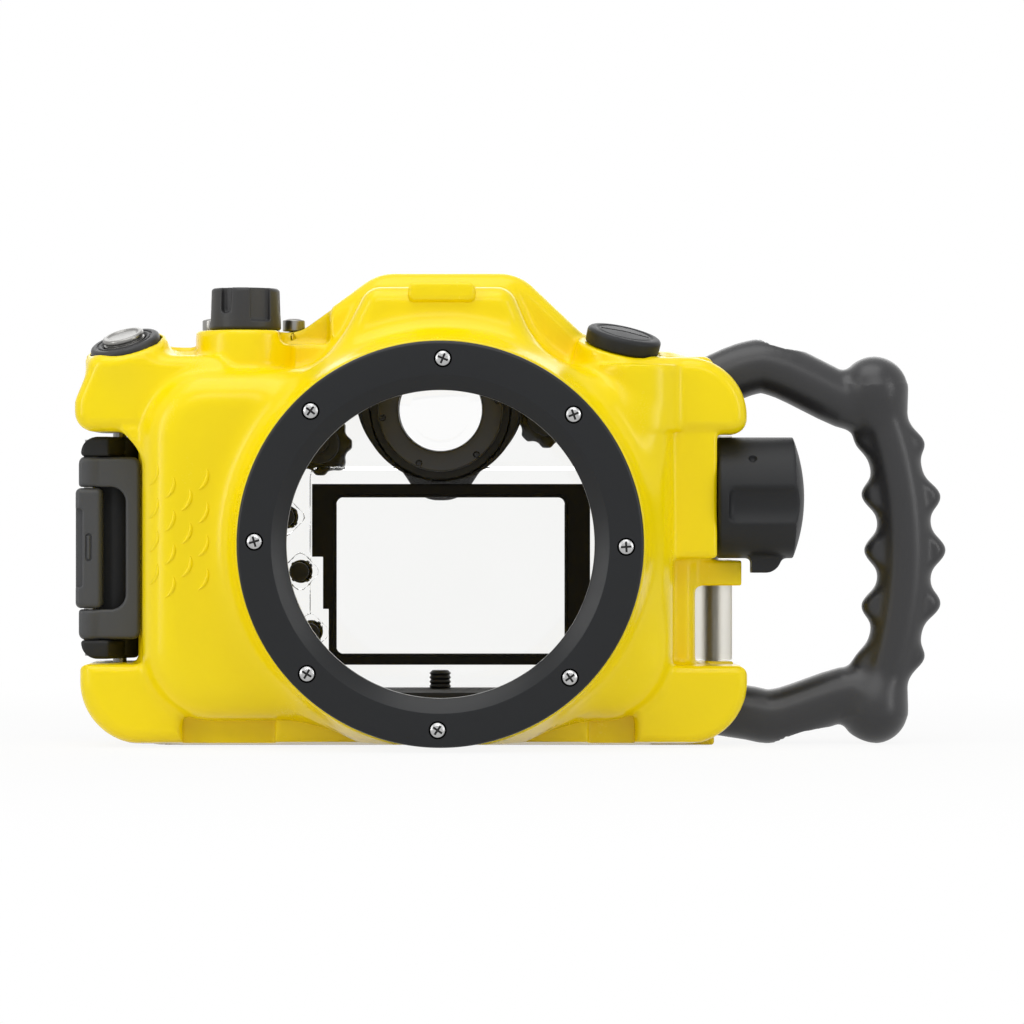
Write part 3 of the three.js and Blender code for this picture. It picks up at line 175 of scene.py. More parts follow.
def rod(axis: Axis, centre: Spot, radius: float, low: float, high: float,
        edge: float = 0.0, end_radius: float | None = None) -> Solid:
    """A round bar along an axis, tapered where end_radius differs.

    Args:
        axis: the direction of the bar.
        centre: its place on the other two axes, in their order.
        radius: its radius at low.
        low: where it starts.
        high: where it ends.
        edge: rounding of its rims.
        end_radius: its radius at high.
    """
    last = radius if end_radius is None else end_radius
    slope = (last - radius) / (high - low)
    lean = 1 / math.hypot(1.0, slope)

    def distance(*point: Array) -> Array:
        """The bar's distance."""
        along, u, v = split(axis, point)
        reach = np.hypot(u - centre[0], v - centre[1])
        wide = (reach - radius - slope * (along - low)) * lean
        return meet(wide, slab_distance(along, low, high), edge)

    return Solid(distance)


def split(axis: Axis, point: Sequence[Array]) -> list[Array]:
    """The coordinate along an axis, then the other two in order."""
    values = list(point)
    return [values.pop(axis.value), *values]


def ball(centre: Point, radius: float) -> Solid:
    """A ball."""
    return Solid(lambda *point: np.sqrt(
        sum((v - c) ** 2 for v, c in zip(point, centre))) - radius)


def limb(points: Sequence[Point], radius: float) -> Solid:
    """A round limb through points."""

    def distance(*point: Array) -> Array:
        """The least distance to the limb's stretches."""
        gaps = []
        for a, b in zip(points, points[1:]):
            step = [q - p for p, q in zip(a, b)]
            length = sum(v * v for v in step)
            away = [v - p for v, p in zip(point, a)]
            share = np.clip(sum(v * d for v, d in zip(away, step)) / length, 0.0, 1.0)
            gaps.append(np.sqrt(sum((v - share * d) ** 2 for v, d in zip(away, step))))
        return reduce(np.minimum, gaps) - radius

    return Solid(distance)


def path_points(knots: Sequence[Point], count: int) -> list[Point]:
    """Points along a smooth curve through knots (Catmull-Rom)."""
    ends = [np.array(k, float) for k in (knots[0], *knots, knots[-1])]
    made = []
    spans = len(knots) - 1
    for i in range(count):
        place = i / (count - 1) * spans
        k = min(int(place), spans - 1)
        t = place - k
        a, b, c, d = ends[k:k + 4]
        made.append(tuple(0.5 * (2 * b + (c - a) * t + (2 * a - 5 * b + 4 * c - d) * t ** 2
                                 + (3 * b - a - 3 * c + d) * t ** 3)))
    return made


def rounded(corners: Sequence[Point], steps: int) -> Array:
    """The points of an outline with its corners rounded.

    Args:
        corners: across, up and radius of each corner, in order.
        steps: points on each rounded corner.

    Returns:
        An array of points, one row each.
    """
    points = []
    count = len(corners)
    for i, (u, v, radius) in enumerate(corners):
        here = np.array([u, v])
        if radius <= 0:
            points.append(here)
            continue
        back = np.array(corners[i - 1][:2]) - here
        on = np.array(corners[(i + 1) % count][:2]) - here
        back, on = back / np.linalg.norm(back), on / np.linalg.norm(on)
        half = math.acos(float(np.clip(back @ on, -1, 1))) / 2
        middle = (back + on) / np.linalg.norm(back + on)
        centre = here + middle * radius / math.sin(half)
        first = here + back * radius / math.tan(half) - centre
        last = here + on * radius / math.tan(half) - centre
        sweep = math.atan2(first[0] * last[1] - first[1] * last[0], float(first @ last))
        for k in range(steps + 1):
            turn = sweep * k / steps
            points.append(centre + np.array([
                first[0] * math.cos(turn) - first[1] * math.sin(turn),
                first[0] * math.sin(turn) + first[1] * math.cos(turn)]))
    return np.array(points)


@dataclass(frozen=True)
class Outline:
    """A flat closed outline given by its signed distance, negative inside."""

    distance: Callable[[Array, Array], Array]

    def blend(self, other: "Outline", fillet: float) -> "Outline":
        """Both outlines with a fillet where they meet."""
        return Outline(lambda u, v: smooth_least(
            self.distance(u, v), other.distance(u, v), fillet))

    def inset(self, by: float) -> "Outline":
        """The outline moved inwards."""
        return Outline(lambda u, v: self.distance(u, v) + by)


def rectangle(left: float, right: float, bottom: float, top: float, corner: float) -> Outline:
    """A rectangle with rounded corners."""
    return Outline(lambda u, v: meet(
        slab_distance(u, left, right), slab_distance(v, bottom, top), corner))


def polygon(points: Sequence[Spot], corner: float) -> Outline:
    """A convex outline through points, anticlockwise, its corners rounded."""
    loop = np.array(points, float)
    on = np.roll(loop, -1, 0) - loop
    on /= np.linalg.norm(on, axis=1, keepdims=True)
    come = np.roll(on, 1, 0)
    reach = corner / (1 + (come * on).sum(1))
    inner = loop + np.stack([-(come[:, 1] + on[:, 1]), come[:, 0] + on[:, 0]], 1) * reach[:, None]

    def distance(u: Array, v: Array) -> Array:
        """The polygon's distance."""
        gaps, sides = [], []
        for (ax, ay), (bx, by) in zip(inner, np.roll(inner, -1, 0)):
            dx, dy = bx - ax, by - ay
            length = math.hypot(dx, dy)
            share = np.clip(((u - ax) * dx + (v - ay) * dy) / length ** 2, 0, 1)
            gaps.append(np.hypot(u - ax - share * dx, v - ay - share * dy))
            sides.append(((u - ax) * dy - (v - ay) * dx) / length)
        side = reduce(np.maximum, sides)
        return np.where(side > 0, reduce(np.minimum, gaps), side) - corner

    return Outline(distance)


def plate(axis: Axis, outline: Outline, low: float, high: float, edge: float = 0.0,
          ends: tuple[bool, bool] = (True, True)) -> Solid:
    """A plate with a given outline, flat across an axis.

    Args:
        axis: the direction of its thickness.
        outline: its shape on the other two axes, in their order.
        low: where its thickness starts.
        high: where it ends.
        edge: rounding between face and rim.
        ends: whether the low and the high rim are rounded.
    """
    bottom = low if ends[0] else low - 4 * edge
    top = high if ends[1] else high + 4 * edge

    def distance(*point: Array) -> Array:
        """The plate's distance."""
        along, u, v = split(axis, point)
        whole = meet(outline.distance(u, v), slab_distance(along, bottom, top), edge)
        return whole if all(ends) else np.maximum(whole, slab_distance(along, low, high))

    return Solid(distance)


@dataclass(frozen=True)
class Leaning:
    """A frame at a point, its own Z along a leaning axis.

    Args:
        origin: the point.
        lean_x: the axis' part along X.
        lean_y: the axis' part along Y.
    """

    origin: Point
    lean_x: float
    lean_y: float

    def axes(self) -> Array:
        """The frame's own axes, one row each, turned the short way from upright."""
        up = Vector((self.lean_x, self.lean_y,
                     math.sqrt(1 - self.lean_x ** 2 - self.lean_y ** 2)))
        turn = Vector((0, 0, 1)).rotation_difference(up)
        return np.array([turn @ Vector(v) for v in ((1, 0, 0), (0, 1, 0), (0, 0, 1))])

    def moved(self, solid: Solid) -> Solid:
        """A solid that was built in this frame, put in its place."""

        def distance(*point: Array) -> Array:
            """The solid's distance at the point in this frame."""
            away = [v - c for v, c in zip(point, self.origin)]
            return solid.distance(*(sum(v * d for v, d in zip(away, row)) for row in self.axes()))

        return Solid(distance)

    def place(self, points: Array) -> Array:
        """Points of this frame in the housing's frame."""
        return points @ self.axes() + np.array(self.origin)


# meshes

BAND = 3.0
CREASE = math.cos(math.radians(18.0))
SHARP = 28.0


def make_object(name: str, points: Array, faces: list[tuple[int, ...]] | Array,
                smooth: bool = True) -> Object:
    """A new mesh object from points in millimetres."""
    mesh = bpy.data.meshes.new(name)
    if isinstance(faces, Array):
        build_fast(mesh, points * METRES, faces)
    else:
        mesh.from_pydata((points * METRES).tolist(), [], faces)
        mesh.update()
    mesh.polygons.foreach_set("use_smooth", [smooth] * len(mesh.polygons))
    made = bpy.data.objects.new(name, mesh)
    bpy.context.scene.collection.objects.link(made)
    return made


def build_fast(mesh: bpy.types.Mesh, points: Array, faces: Array) -> None:
    """Fills a mesh from arrays, every face with the same number of corners."""
    count, sides = faces.shape
    mesh.vertices.add(len(points))
    mesh.vertices.foreach_set("co", points.astype(np.float32).ravel())
    mesh.loops.add(count * sides)
    mesh.loops.foreach_set("vertex_index", faces.astype(np.int32).ravel())
    mesh.polygons.add(count)
    mesh.polygons.foreach_set("loop_start", np.arange(0, count * sides, sides, dtype=np.int32))
    mesh.update(calc_edges=True)
    mesh.validate()


def skin(name: str, solid: Solid, low: Point, high: Point, pitch: float) -> Object:
    """The surface of a solid as a fine mesh with the solid's own normals.

    Args:
        name: the new object's name.
        solid: the solid, in millimetres.
        low: lowest corner of the space that holds it.
        high: highest corner of that space.
        pitch: spacing of the grid.

    Returns:
        The new object.
    """
    starts = [v - 2 * pitch for v in low]
    counts = [int((b - a) / pitch) + 5 for a, b in zip(low, high)]
    lines = [a + pitch * np.arange(n) for a, n in zip(starts, counts)]
    x, y, z = lines[0][:, None, None], lines[1][None, :, None], lines[2][None, None, :]
    values = np.broadcast_to(solid.distance(x, y, z), counts).astype(np.float32) / pitch
    grid = openvdb.FloatGrid(BAND)
    grid.copyFromArray(np.ascontiguousarray(np.clip(values, -BAND, BAND)))
    points, _, quads = grid.convertToPolygons(isovalue=0.0, adaptivity=0.0)
    points = points.astype(float) * pitch + np.array(starts)
    quads = quads.astype(np.int32)
    slopes = slope_at(solid, points, pitch / 4)
    size = np.maximum((slopes ** 2).sum(1), 0.25)
    for _ in range(3):
        step = np.clip(solid.distance(*points.T) / size, -pitch / 2, pitch / 2)
        points = points - slopes * step[:, None]
    points = to_edges(solid, points, pitch)
    normals = unit(slope_at(solid, points, pitch / 5))
    corners = points[quads]
    facing = np.cross(corners[:, 2] - corners[:, 0], corners[:, 3] - corners[:, 1])
    if ((facing * normals[quads[:, 0]]).sum(1) < 0).mean() > 0.5:
        quads, facing = quads[:, ::-1], -facing
    made = make_object(name, points, quads)
    corner_normals = normals[quads]
    agree = (corner_normals * unit(facing)[:, None, :]).sum(2)
    creased = np.nonzero(agree.min(1) < CREASE)[0]
    flat = points[quads[creased]]
    inwards = 0.38
    spots = ((1 - inwards) * flat + inwards * flat.mean(1, keepdims=True)).reshape(-1, 3)
    corner_normals[creased] = unit(slope_at(solid, spots, pitch / 20)).reshape(-1, 4, 3)
    made.data.normals_split_custom_set(corner_normals.reshape(-1, 3).tolist())
    return made


def unit(vectors: Array) -> Array:
    """Vectors scaled to length one."""
    return vectors / np.maximum(np.linalg.norm(vectors, axis=-1, keepdims=True), 1e-9)


def to_edges(solid: Solid, points: Array, pitch: float) -> Array:
    """Moves points that lie near a sharp edge of the solid on to that edge.

    Args:
        solid: the solid.
        points: points near its surface.
        pitch: spacing of the points.

    Returns:
        The moved points: each is where the walls round it meet.
    """
    reach = 0.55 * pitch
    longest = 0.75 * pitch
    alike = 0.93
    hold = 0.06
    sides = [np.array(way, float) * reach for way in product((1, -1), repeat=3)]
    here = unit(slope_at(solid, points, reach))
    walls = [unit(slope_at(solid, points + side, pitch / 20)) for side in sides]
    bent = np.nonzero(np.min([(wall * here).sum(1) for wall in walls], 0) < alike)[0]
    square, right = np.zeros((len(bent), 3, 3)), np.zeros((len(bent), 3))
    for side, wall in zip(sides, walls):
        wall = wall[bent]
        gap = wall @ side - solid.distance(*(points[bent] + side).T)
        square += wall[:, :, None] * wall[:, None, :]
        right += wall * gap[:, None]
    square += hold * np.eye(3)
    shift = np.linalg.solve(square, right[:, :, None])[:, :, 0]
    length = np.linalg.norm(shift, axis=1, keepdims=True)
    made = points.copy()
    made[bent] += shift * np.minimum(1.0, longest / np.maximum(length, 1e-9))
    return made


def slope_at(solid: Solid, points: Array, step: float) -> Array:
    """The distance's slope at points."""
    ways = step * np.eye(3)
    return np.stack([solid.distance(*(points + way).T) - solid.distance(*(points - way).T)
                     for way in ways], 1) / (2 * step)


def lathe(name: str, profile: Sequence[Point], sides: int, place: Placing,
          steps: int = 4) -> Object:
    """A closed profile turned about the Z of its own frame.

    Args:
        name: the new object's name.
        profile: radius, height and rounding of each corner, in order round the section.
        sides: faces round the axis.
        place: puts points of its own frame in the housing's frame.
        steps: points on each rounded corner.

    Returns:
        The new object.
    """
    section = rounded(profile, steps)
    angles = np.arange(sides) * 2 * math.pi / sides
    circle = np.stack([np.cos(angles), np.sin(angles)], 1)
    points = np.concatenate([
        np.column_stack([circle * max(r, 0.0), np.full(sides, h)]) for r, h in section])
    count = len(section)
    faces = []
    for i, k in product(range(count), range(sides)):
        j, m = (i + 1) % count, (k + 1) % sides
        faces.append((i * sides + k, i * sides + m, j * sides + m, j * sides + k))
    made = make_object(name, place(points), faces)
    finish_mesh(made, 35.0)
    return made


def finish_mesh(made: Object, sharp: float = SHARP, gap: float = 1e-6) -> None:
    """Merges doubles, drops flat faces, turns the normals out and marks sharp edges."""
    mesh = bmesh.new()
    mesh.from_mesh(made.data)
    bmesh.ops.remove_doubles(mesh, verts=mesh.verts, dist=gap)
    bmesh.ops.dissolve_degenerate(mesh, edges=mesh.edges, dist=gap)
    bmesh.ops.recalc_face_normals(mesh, faces=mesh.faces)
    for edge in mesh.edges:
        edge.smooth = not (edge.is_manifold and edge.calc_face_angle(0) > math.radians(sharp))
    mesh.to_mesh(made.data)
    mesh.free()


def along_y(x: float, z: float) -> Placing:
    """Puts a turned form's height along Y, its axis at x and z."""
    return lambda points: np.column_stack(
        [points[:, 0] + x, points[:, 2], z - points[:, 1]])


def at(x: float, y: float) -> Placing:
    """Moves an upright turned form to a place."""
    return lambda points: points + np.array([x, y, 0.0])


# shader sockets as values


def arithmetic(operation: str, swapped: bool = False) -> Callable[["Value", object], "Value"]:
    """A method that joins a value and a term in a Math node, the term first where swapped."""

    def join(value: "Value", term: "Value | float") -> "Value":
        """The Math node's result."""
        terms = (term, value) if swapped else (value, term)
        return value.graph.node("ShaderNodeMath", {"operation": operation},
                                dict(enumerate(terms)))

    return join


class Value:
    """A number that comes out of a shader node, used in plain arithmetic."""

    __add__, __radd__ = arithmetic("ADD"), arithmetic("ADD", True)
    __sub__, __rsub__ = arithmetic("SUBTRACT"), arithmetic("SUBTRACT", True)
    __mul__, __rmul__ = arithmetic("MULTIPLY"), arithmetic("MULTIPLY", True)

    def __init__(self, graph: "Graph", socket: Socket) -> None:
        """Keeps the socket and the graph it belongs to."""
        self.graph = graph
        self.socket = socket

    def wave(self) -> "Value":
        """The sine."""
        return self.graph.node("ShaderNodeMath", {"operation": "SINE"}, {0: self})

    def eased(self, low: float, high: float) -> "Value":
        """0 below low and 1 above high, smooth between."""
        return self.graph.node("ShaderNodeMapRange", {"interpolation_type": "SMOOTHSTEP"},
                               {"Value": self, "From Min": low, "From Max": high})


def feed(tree: bpy.types.NodeTree, socket: Socket, content: object) -> None:
    """Links a value or another socket to a socket, or sets the socket."""
    if isinstance(content, Value):
        content = content.socket
    if isinstance(content, Socket):
        tree.links.new(content, socket)
    elif socket.type == "RGBA" and len(content) == 3:
        socket.default_value = (*content, 1.0)
    else:
        socket.default_value = content


def add_node(tree: bpy.types.NodeTree, kind: str, settings: dict[str, object] | None = None,
             sockets: dict[str | int, object] | None = None) -> bpy.types.Node:
    """Adds a node, with its settings first, then its sockets.

    Args:
        tree: the tree that it goes into.
        kind: the node's type.
        settings: attributes to set on it.
        sockets: values or links for its inputs, by name or number.

    Returns:
        The new node.
    """
    made = tree.nodes.new(kind)
    for name, setting in (settings or {}).items():
        setattr(made, name, setting)
    for name, content in (sockets or {}).items():
        feed(tree, made.inputs[name], content)
    return made


class Graph:
    """A material's node tree with one Principled shader."""

    def __init__(self, name: str) -> None:
        """Makes an empty material with its shader and output."""
        self.material = bpy.data.materials.new(name)
        self.material.use_nodes = True
        self.tree = self.material.node_tree
        self.tree.nodes.clear()
        self.shader = add_node(self.tree, "ShaderNodeBsdfPrincipled")
        add_node(self.tree, "ShaderNodeOutputMaterial", None,
                 {"Surface": self.shader.outputs["BSDF"]})
        self.coords = self.node("ShaderNodeTexCoord", output="Object")

    def node(self, kind: str, settings: dict[str, object] | None = None,
             sockets: dict[str | int, object] | None = None, output: str | int = 0) -> Value:
        """A node as add_node makes it, its chosen output as a value."""
        return Value(self, add_node(self.tree, kind, settings, sockets).outputs[output])

    def noise(self, scale: float, detail: float = 3.0, stretch: Point = (1.0, 1.0, 1.0),
              roughness: float = 0.5) -> Value:
        """Noise on Object coordinates, features about 1/scale metres, from 0 to 1."""
        place = self.node("ShaderNodeMapping", None,
                          {"Vector": self.coords, "Scale": tuple(scale * s for s in stretch)})
        return self.node("ShaderNodeTexNoise", None, {
            "Vector": place, "Scale": 1.0, "Detail": detail, "Roughness": roughness})

    def mix(self, share: Value | float, first: object, second: object) -> Value:
        """A colour between two."""
        share_socket, first_socket, second_socket, result = 0, 6, 7, 2
        return self.node("ShaderNodeMix", {"data_type": "RGBA"}, {
            share_socket: share, first_socket: first, second_socket: second}, result)

    def bump(self, height: Value, depth: float, strength: float,
             under: Value | None = None) -> Value:
        """A normal that follows a height of 0 to 1 over depth metres."""
        below = {} if under is None else {"Normal": under}
        return self.node("ShaderNodeBump", None, {
            "Height": height, "Distance": depth, "Strength": strength, **below})

    def dress(self, **inputs: object) -> Material:
        """Feeds the Principled shader, words joined by underscores, and returns the material."""
        for name, content in inputs.items():
            feed(self.tree, self.shader.inputs[name.replace("_", " ")], content)
        return self.material


def linear(*screen: int) -> Point:
    """A screen colour of red, green and blue, each 0 to 255, as linear light."""
    return tuple((c / 255 / 12.92) if c <= 10 else ((c / 255 + 0.055) / 1.055) ** 2.4
                 for c in screen)


def shade(colour: Point, factor: float) -> Point:
    """A colour made darker or lighter."""
    return tuple(c * factor for c in colour)


def paler(colour: Point, factor: float, lift: float) -> Point:
    """A colour made lighter and lifted, each part at most 1."""
    return tuple(min(c * factor + lift, 1.0) for c in colour)


# finishes


@dataclass(frozen=True)
class MouldedPlastic:
    """Moulded plastic: faint colour drift, fine grain and handling marks.

    Args:
        name: the material's name.
        colour: linear colour.
        roughness: mean roughness.
        grain: depth of its texture in metres.
        grain_scale: texture features per metre.
        drift: how far the colour drifts to its darker side.
        gloss: how strongly it mirrors, 0.5 for common plastic.
    """

    name: str
    colour: Point
    roughness: float
    grain: float
    grain_scale: float
    drift: float
    gloss: float

    def material(self) -> Material:
        """Builds the node material."""
        graph = Graph(self.name)
        cloud = graph.noise(14.0, 4.0)
        speck = graph.noise(900.0, 2.0)
        rub = graph.noise(60.0, 5.0, (1.0, 1.0, 0.35), 0.6).eased(0.52, 0.72)
        tint = graph.mix(cloud * 0.7 + speck * 0.3, shade(self.colour, 1 - 2 * self.drift),
                         self.colour)
        tint = graph.mix(rub * (self.drift * 1.5), tint, paler(self.colour, 1.12, 0.01))
        fine = graph.noise(self.grain_scale)
        low = graph.bump(graph.noise(45.0, 2.0), 0.00025, 0.25)
        return graph.dress(
            Base_Color=tint, Roughness=self.roughness * 0.86 + rub * 0.05 + fine * 0.12,
            Normal=graph.bump(fine, self.grain, 0.6, low), Specular_IOR_Level=self.gloss)


@dataclass(frozen=True)
class TurnedMetal:
    """Metal cut on a lathe: fine tool rings about an axis, and faint stains.

    Args:
        name: the material's name.
        colour: linear colour.
        roughness: mean roughness.
        metal: how metallic it is, 1 for bare metal.
        axis: the axis that the tool rings go round.
        centre: a point on that axis, in metres.
        pitch: distance between tool rings, in metres.
        depth: depth of the rings, in metres.
        gloss: how strongly the part that isn't metallic mirrors.
        grime: depths along the axis in metres where painted shade starts and ends; beyond them the
            colour darkens to stand in for shade in its recesses.
    """

    name: str
    colour: Point
    roughness: float
    metal: float
    axis: Axis
    centre: Point
    pitch: float = 0.0004
    depth: float = 0.000004
    gloss: float = 0.5
    grime: Spot | None = None

    def material(self) -> Material:
        """Builds the node material."""
        graph = Graph(self.name)
        away = graph.node("ShaderNodeVectorMath", {"operation": "SUBTRACT"},
                          {0: graph.coords, 1: self.centre})
        flat = graph.node("ShaderNodeVectorMath", {"operation": "MULTIPLY"},
                          {0: away, 1: tuple(float(a != self.axis) for a in Axis)})
        reach = graph.node("ShaderNodeVectorMath", {"operation": "LENGTH"}, {0: flat}, "Value")
        rings = (reach * (2 * math.pi / self.pitch)).wave() * 0.5 + 0.5
        cloud = graph.noise(160.0, 4.0)
        tint = graph.mix(cloud * 0.75 + rings * 0.25, shade(self.colour, 0.82), self.colour)
        # painted shade: past these depths along the axis the colour falls to 6 %, which darkens
        # each screw head's cross recess and rim as if they lay in shade
        if self.grime is not None:
            depth = graph.node("ShaderNodeSeparateXYZ", None, {"Vector": graph.coords},
                               self.axis.value)
            tint = graph.mix(depth.eased(*self.grime), tint, shade(self.colour, 0.06))
        return graph.dress(
            Base_Color=tint, Metallic=self.metal, Specular_IOR_Level=self.gloss,
            Roughness=self.roughness * 0.8 + cloud * 0.08 + rings * 0.04,
            Normal=graph.bump(rings, self.depth, 0.7))


@dataclass(frozen=True)
class Rubber:
    """Dull black rubber with a dusty bloom."""

    name: str
    colour: Point

    def material(self) -> Material:
        """Builds the node material."""
        graph = Graph(self.name)
        bloom = graph.noise(220.0, 5.0).eased(0.45, 0.75)
        fine = graph.noise(4200.0, 2.0)
        return graph.dress(
            Base_Color=graph.mix(bloom * 0.5, self.colour, paler(self.colour, 1.9, 0.006)),
            Roughness=0.68 + bloom * 0.14, Normal=graph.bump(fine, 0.00003, 0.5))


@dataclass(frozen=True)
class ClearPlastic:
    """Clear polycarbonate or glass with faint moulding haze.

    Args:
        name: the material's name.
        colour: tint of the light that passes.
        roughness: haze of the surface.
        index: how strongly it bends light.
        frost: place along X in metres beyond which it is frosted and greyer.
    """

    name: str
    colour: Point
    roughness: float
    index: float
    frost: float = 9.0

    def material(self) -> Material:
        """Builds the node material."""
        graph = Graph(self.name)
        haze = graph.noise(35.0, 4.0)
        across = graph.node("ShaderNodeSeparateXYZ", None, {"Vector": graph.coords})
        frosted = across.eased(self.frost, self.frost + 0.001)
        clear = graph.mix(haze, shade(self.colour, 0.97), self.colour)
        return graph.dress(
            Base_Color=graph.mix(frosted, clear, (0.74, 0.72, 0.66)),
            Roughness=haze * (self.roughness * 0.8) + self.roughness * 0.6 + frosted * 0.5,
            Transmission_Weight=1.0, IOR=self.index,
            Normal=graph.bump(haze, 0.00004, 0.2))


class Finishes:
    """Every finish of the housing, built once and shared."""

    def __init__(self) -> None:
        """Builds the materials."""
        ring_centre = (0.0, 0.0, PORT_HEIGHT * METRES)
        plastic, metal = MouldedPlastic, TurnedMetal
        self.shell = plastic("yellow_moulding", linear(255, 227, 0), 0.2, 0.00001, 1800.0,
                             0.02, 0.3).material()
        self.ring = metal("black_anodised_ring", linear(23, 25, 28), 0.32, 0.0, Axis.Y,
                          ring_centre, 0.0005, 0.000003, 0.3).material()
        self.knob = plastic("black_knob_plastic", linear(56, 56, 57), 0.42, 0.00004, 3000.0,
                            0.12, 0.3).material()
        self.inner = plastic("black_inner_plastic", linear(20, 20, 20), 0.6, 0.00003, 3000.0,
                             0.1, 0.15).material()
        self.handle = plastic("charcoal_handle_plastic", linear(40, 40, 42), 0.34, 0.00003,
                              2600.0, 0.1, 0.5).material()
        self.latch = plastic("grey_latch_plastic", linear(70, 71, 73), 0.42, 0.00004, 2600.0,
                             0.1, 0.4).material()
        self.latch_dark = plastic("dark_latch_plastic", linear(34, 35, 37), 0.5, 0.00004,
                                  2600.0, 0.1, 0.25).material()
        self.steel = metal("turned_steel", linear(148, 147, 144), 0.3, 1.0, Axis.Z,
                           (-0.094, -0.014, 0.0)).material()
        # the screw's last two numbers are the depths of its painted shade, which darkens its cross
        # recess and the rim of its head
        self.screw = metal("plated_screw_steel", linear(188, 188, 188), 0.25, 1.0, Axis.Y,
                           ring_centre, 0.0007, 0.000002, 0.5,
                           (-0.06235, -0.0621)).material()
        self.brass = metal("brass_insert", linear(190, 150, 84), 0.3, 1.0, Axis.Z,
                           (0.0, -0.012, 0.0)).material()
        self.rubber = Rubber("black_rubber", linear(24, 24, 25)).material()
        self.clear = ClearPlastic("clear_cover_plastic", (0.93, 0.932, 0.922), 0.05, 1.25,
                                  0.066).material()
        self.glass = ClearPlastic("viewfinder_glass", (0.985, 0.985, 0.98), 0.01,
                                  1.42).material()


def dress(made: Object, finish: Material) -> Object:
    """Gives an object one material."""
    made.data.materials.clear()
    made.data.materials.append(finish)
    return made


def recolour(nodes: Sequence[str], finish: Material) -> None:
    """Gives CAD nodes that stay as they are a finish."""
    for name in nodes:
        for slot in frame["nodes"][name].material_slots:
            slot.material = finish


# helpers that make plain meshes from live modifiers


def settle(made: Object) -> None:
    """Turns an object's evaluated mesh into its plain mesh and removes its modifiers."""
    bpy.context.view_layer.update()
    seen = made.evaluated_get(bpy.context.evaluated_depsgraph_get())
    mesh = bpy.data.meshes.new_from_object(seen)
    made.modifiers.clear()
    made.data = mesh
    mesh.name = made.name


def carve_mesh(made: Object, tools: Sequence[Object]) -> None:
    """Cuts closed tools out of a mesh and deletes them."""
    for tool in tools:
        cut = made.modifiers.new("cut", "BOOLEAN")
        cut.operation = "DIFFERENCE"
        cut.solver = "EXACT"
        cut.object = tool
    settle(made)
    for tool in tools:
        bpy.data.objects.remove(tool)


def box_mesh(name: str, low: Point, high: Point) -> Object:
    """A plain block, used as a cutting tool."""
    points = np.array([[(low, high)[(k >> a) & 1][a] for a in range(3)] for k in range(8)])
    faces = [(0, 2, 3, 1), (4, 5, 7, 6), (0, 1, 5, 4), (2, 6, 7, 3), (0, 4, 6, 2), (1, 3, 7, 5)]
    return make_object(name, points, faces, False)


def put(made: Object, place: Placing) -> None:
    """Moves the points of a mesh, handed over in millimetres."""
    points = np.zeros(len(made.data.vertices) * 3, np.float32)
    made.data.vertices.foreach_get("co", points)
    placed = place(points.reshape(-1, 3) / METRES) * METRES
    made.data.vertices.foreach_set("co", placed.astype(np.float32).ravel())
    made.data.update()


def seat(made: Object, body: str, slot: str, *nodes: str) -> Object:
    """Lets a finished piece ride on a body and hides the CAD nodes that it stands for."""
    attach(made, body)
    if nodes:
        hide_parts(*nodes)
    return made


class NodeTree:
    """A Geometry Nodes tree with named inputs, its first geometry the modifier's own."""

    def __init__(self, name: str, inputs: dict[str, float | int]) -> None:
        """Makes the tree and its interface.

        Args:
            name: the tree's name.
            inputs: names of the size inputs with their values, whole numbers as int.
        """
        self.tree = bpy.data.node_groups.new(name, "GeometryNodeTree")
        self.inputs = inputs
        face = self.tree.interface
        face.new_socket("Geometry", in_out="INPUT", socket_type="NodeSocketGeometry")
        for word, content in inputs.items():
            kind = "NodeSocketInt" if isinstance(content, int) else "NodeSocketFloat"
            face.new_socket(word, in_out="INPUT", socket_type=kind)
        face.new_socket("Material", in_out="INPUT", socket_type="NodeSocketMaterial")
        face.new_socket("Geometry", in_out="OUTPUT", socket_type="NodeSocketGeometry")
        self.source = self.tree.nodes.new("NodeGroupInput")
        self.sink = self.tree.nodes.new("NodeGroupOutput")

    def node(self, kind: str, sockets: dict[str | int, object],
             settings: dict[str, object] | None = None) -> Socket:
        """The first output of a new node."""
        return add_node(self.tree, kind, settings, sockets).outputs[0]

    def size(self, name: str) -> Socket:
        """The socket of a named input."""
        return self.source.outputs[name]

    def vector(self, **parts: Socket | float) -> Socket:
        """A vector from its parts."""
        return self.node("ShaderNodeCombineXYZ", parts)

    def end(self, geometry: Socket) -> None:
        """Realizes, sets the material and closes the tree."""
        real = self.node("GeometryNodeRealizeInstances", {"Geometry": geometry})
        dressed = self.node("GeometryNodeSetMaterial", {
            "Geometry": real, "Material": self.size("Material")})
        self.tree.links.new(dressed, self.sink.inputs[0])

    def apply(self, made: Object, finish: Material) -> Object:
        """Runs the tree on an object and leaves its result as the plain mesh."""
        live = made.modifiers.new(self.tree.name, "NODES")
        live.node_group = self.tree
        content = {**self.inputs, "Material": finish}
        for item in self.tree.interface.items_tree:
            if item.in_out == "INPUT" and item.name in content:
                live[item.identifier] = content[item.name]
        settle(made)
        return made


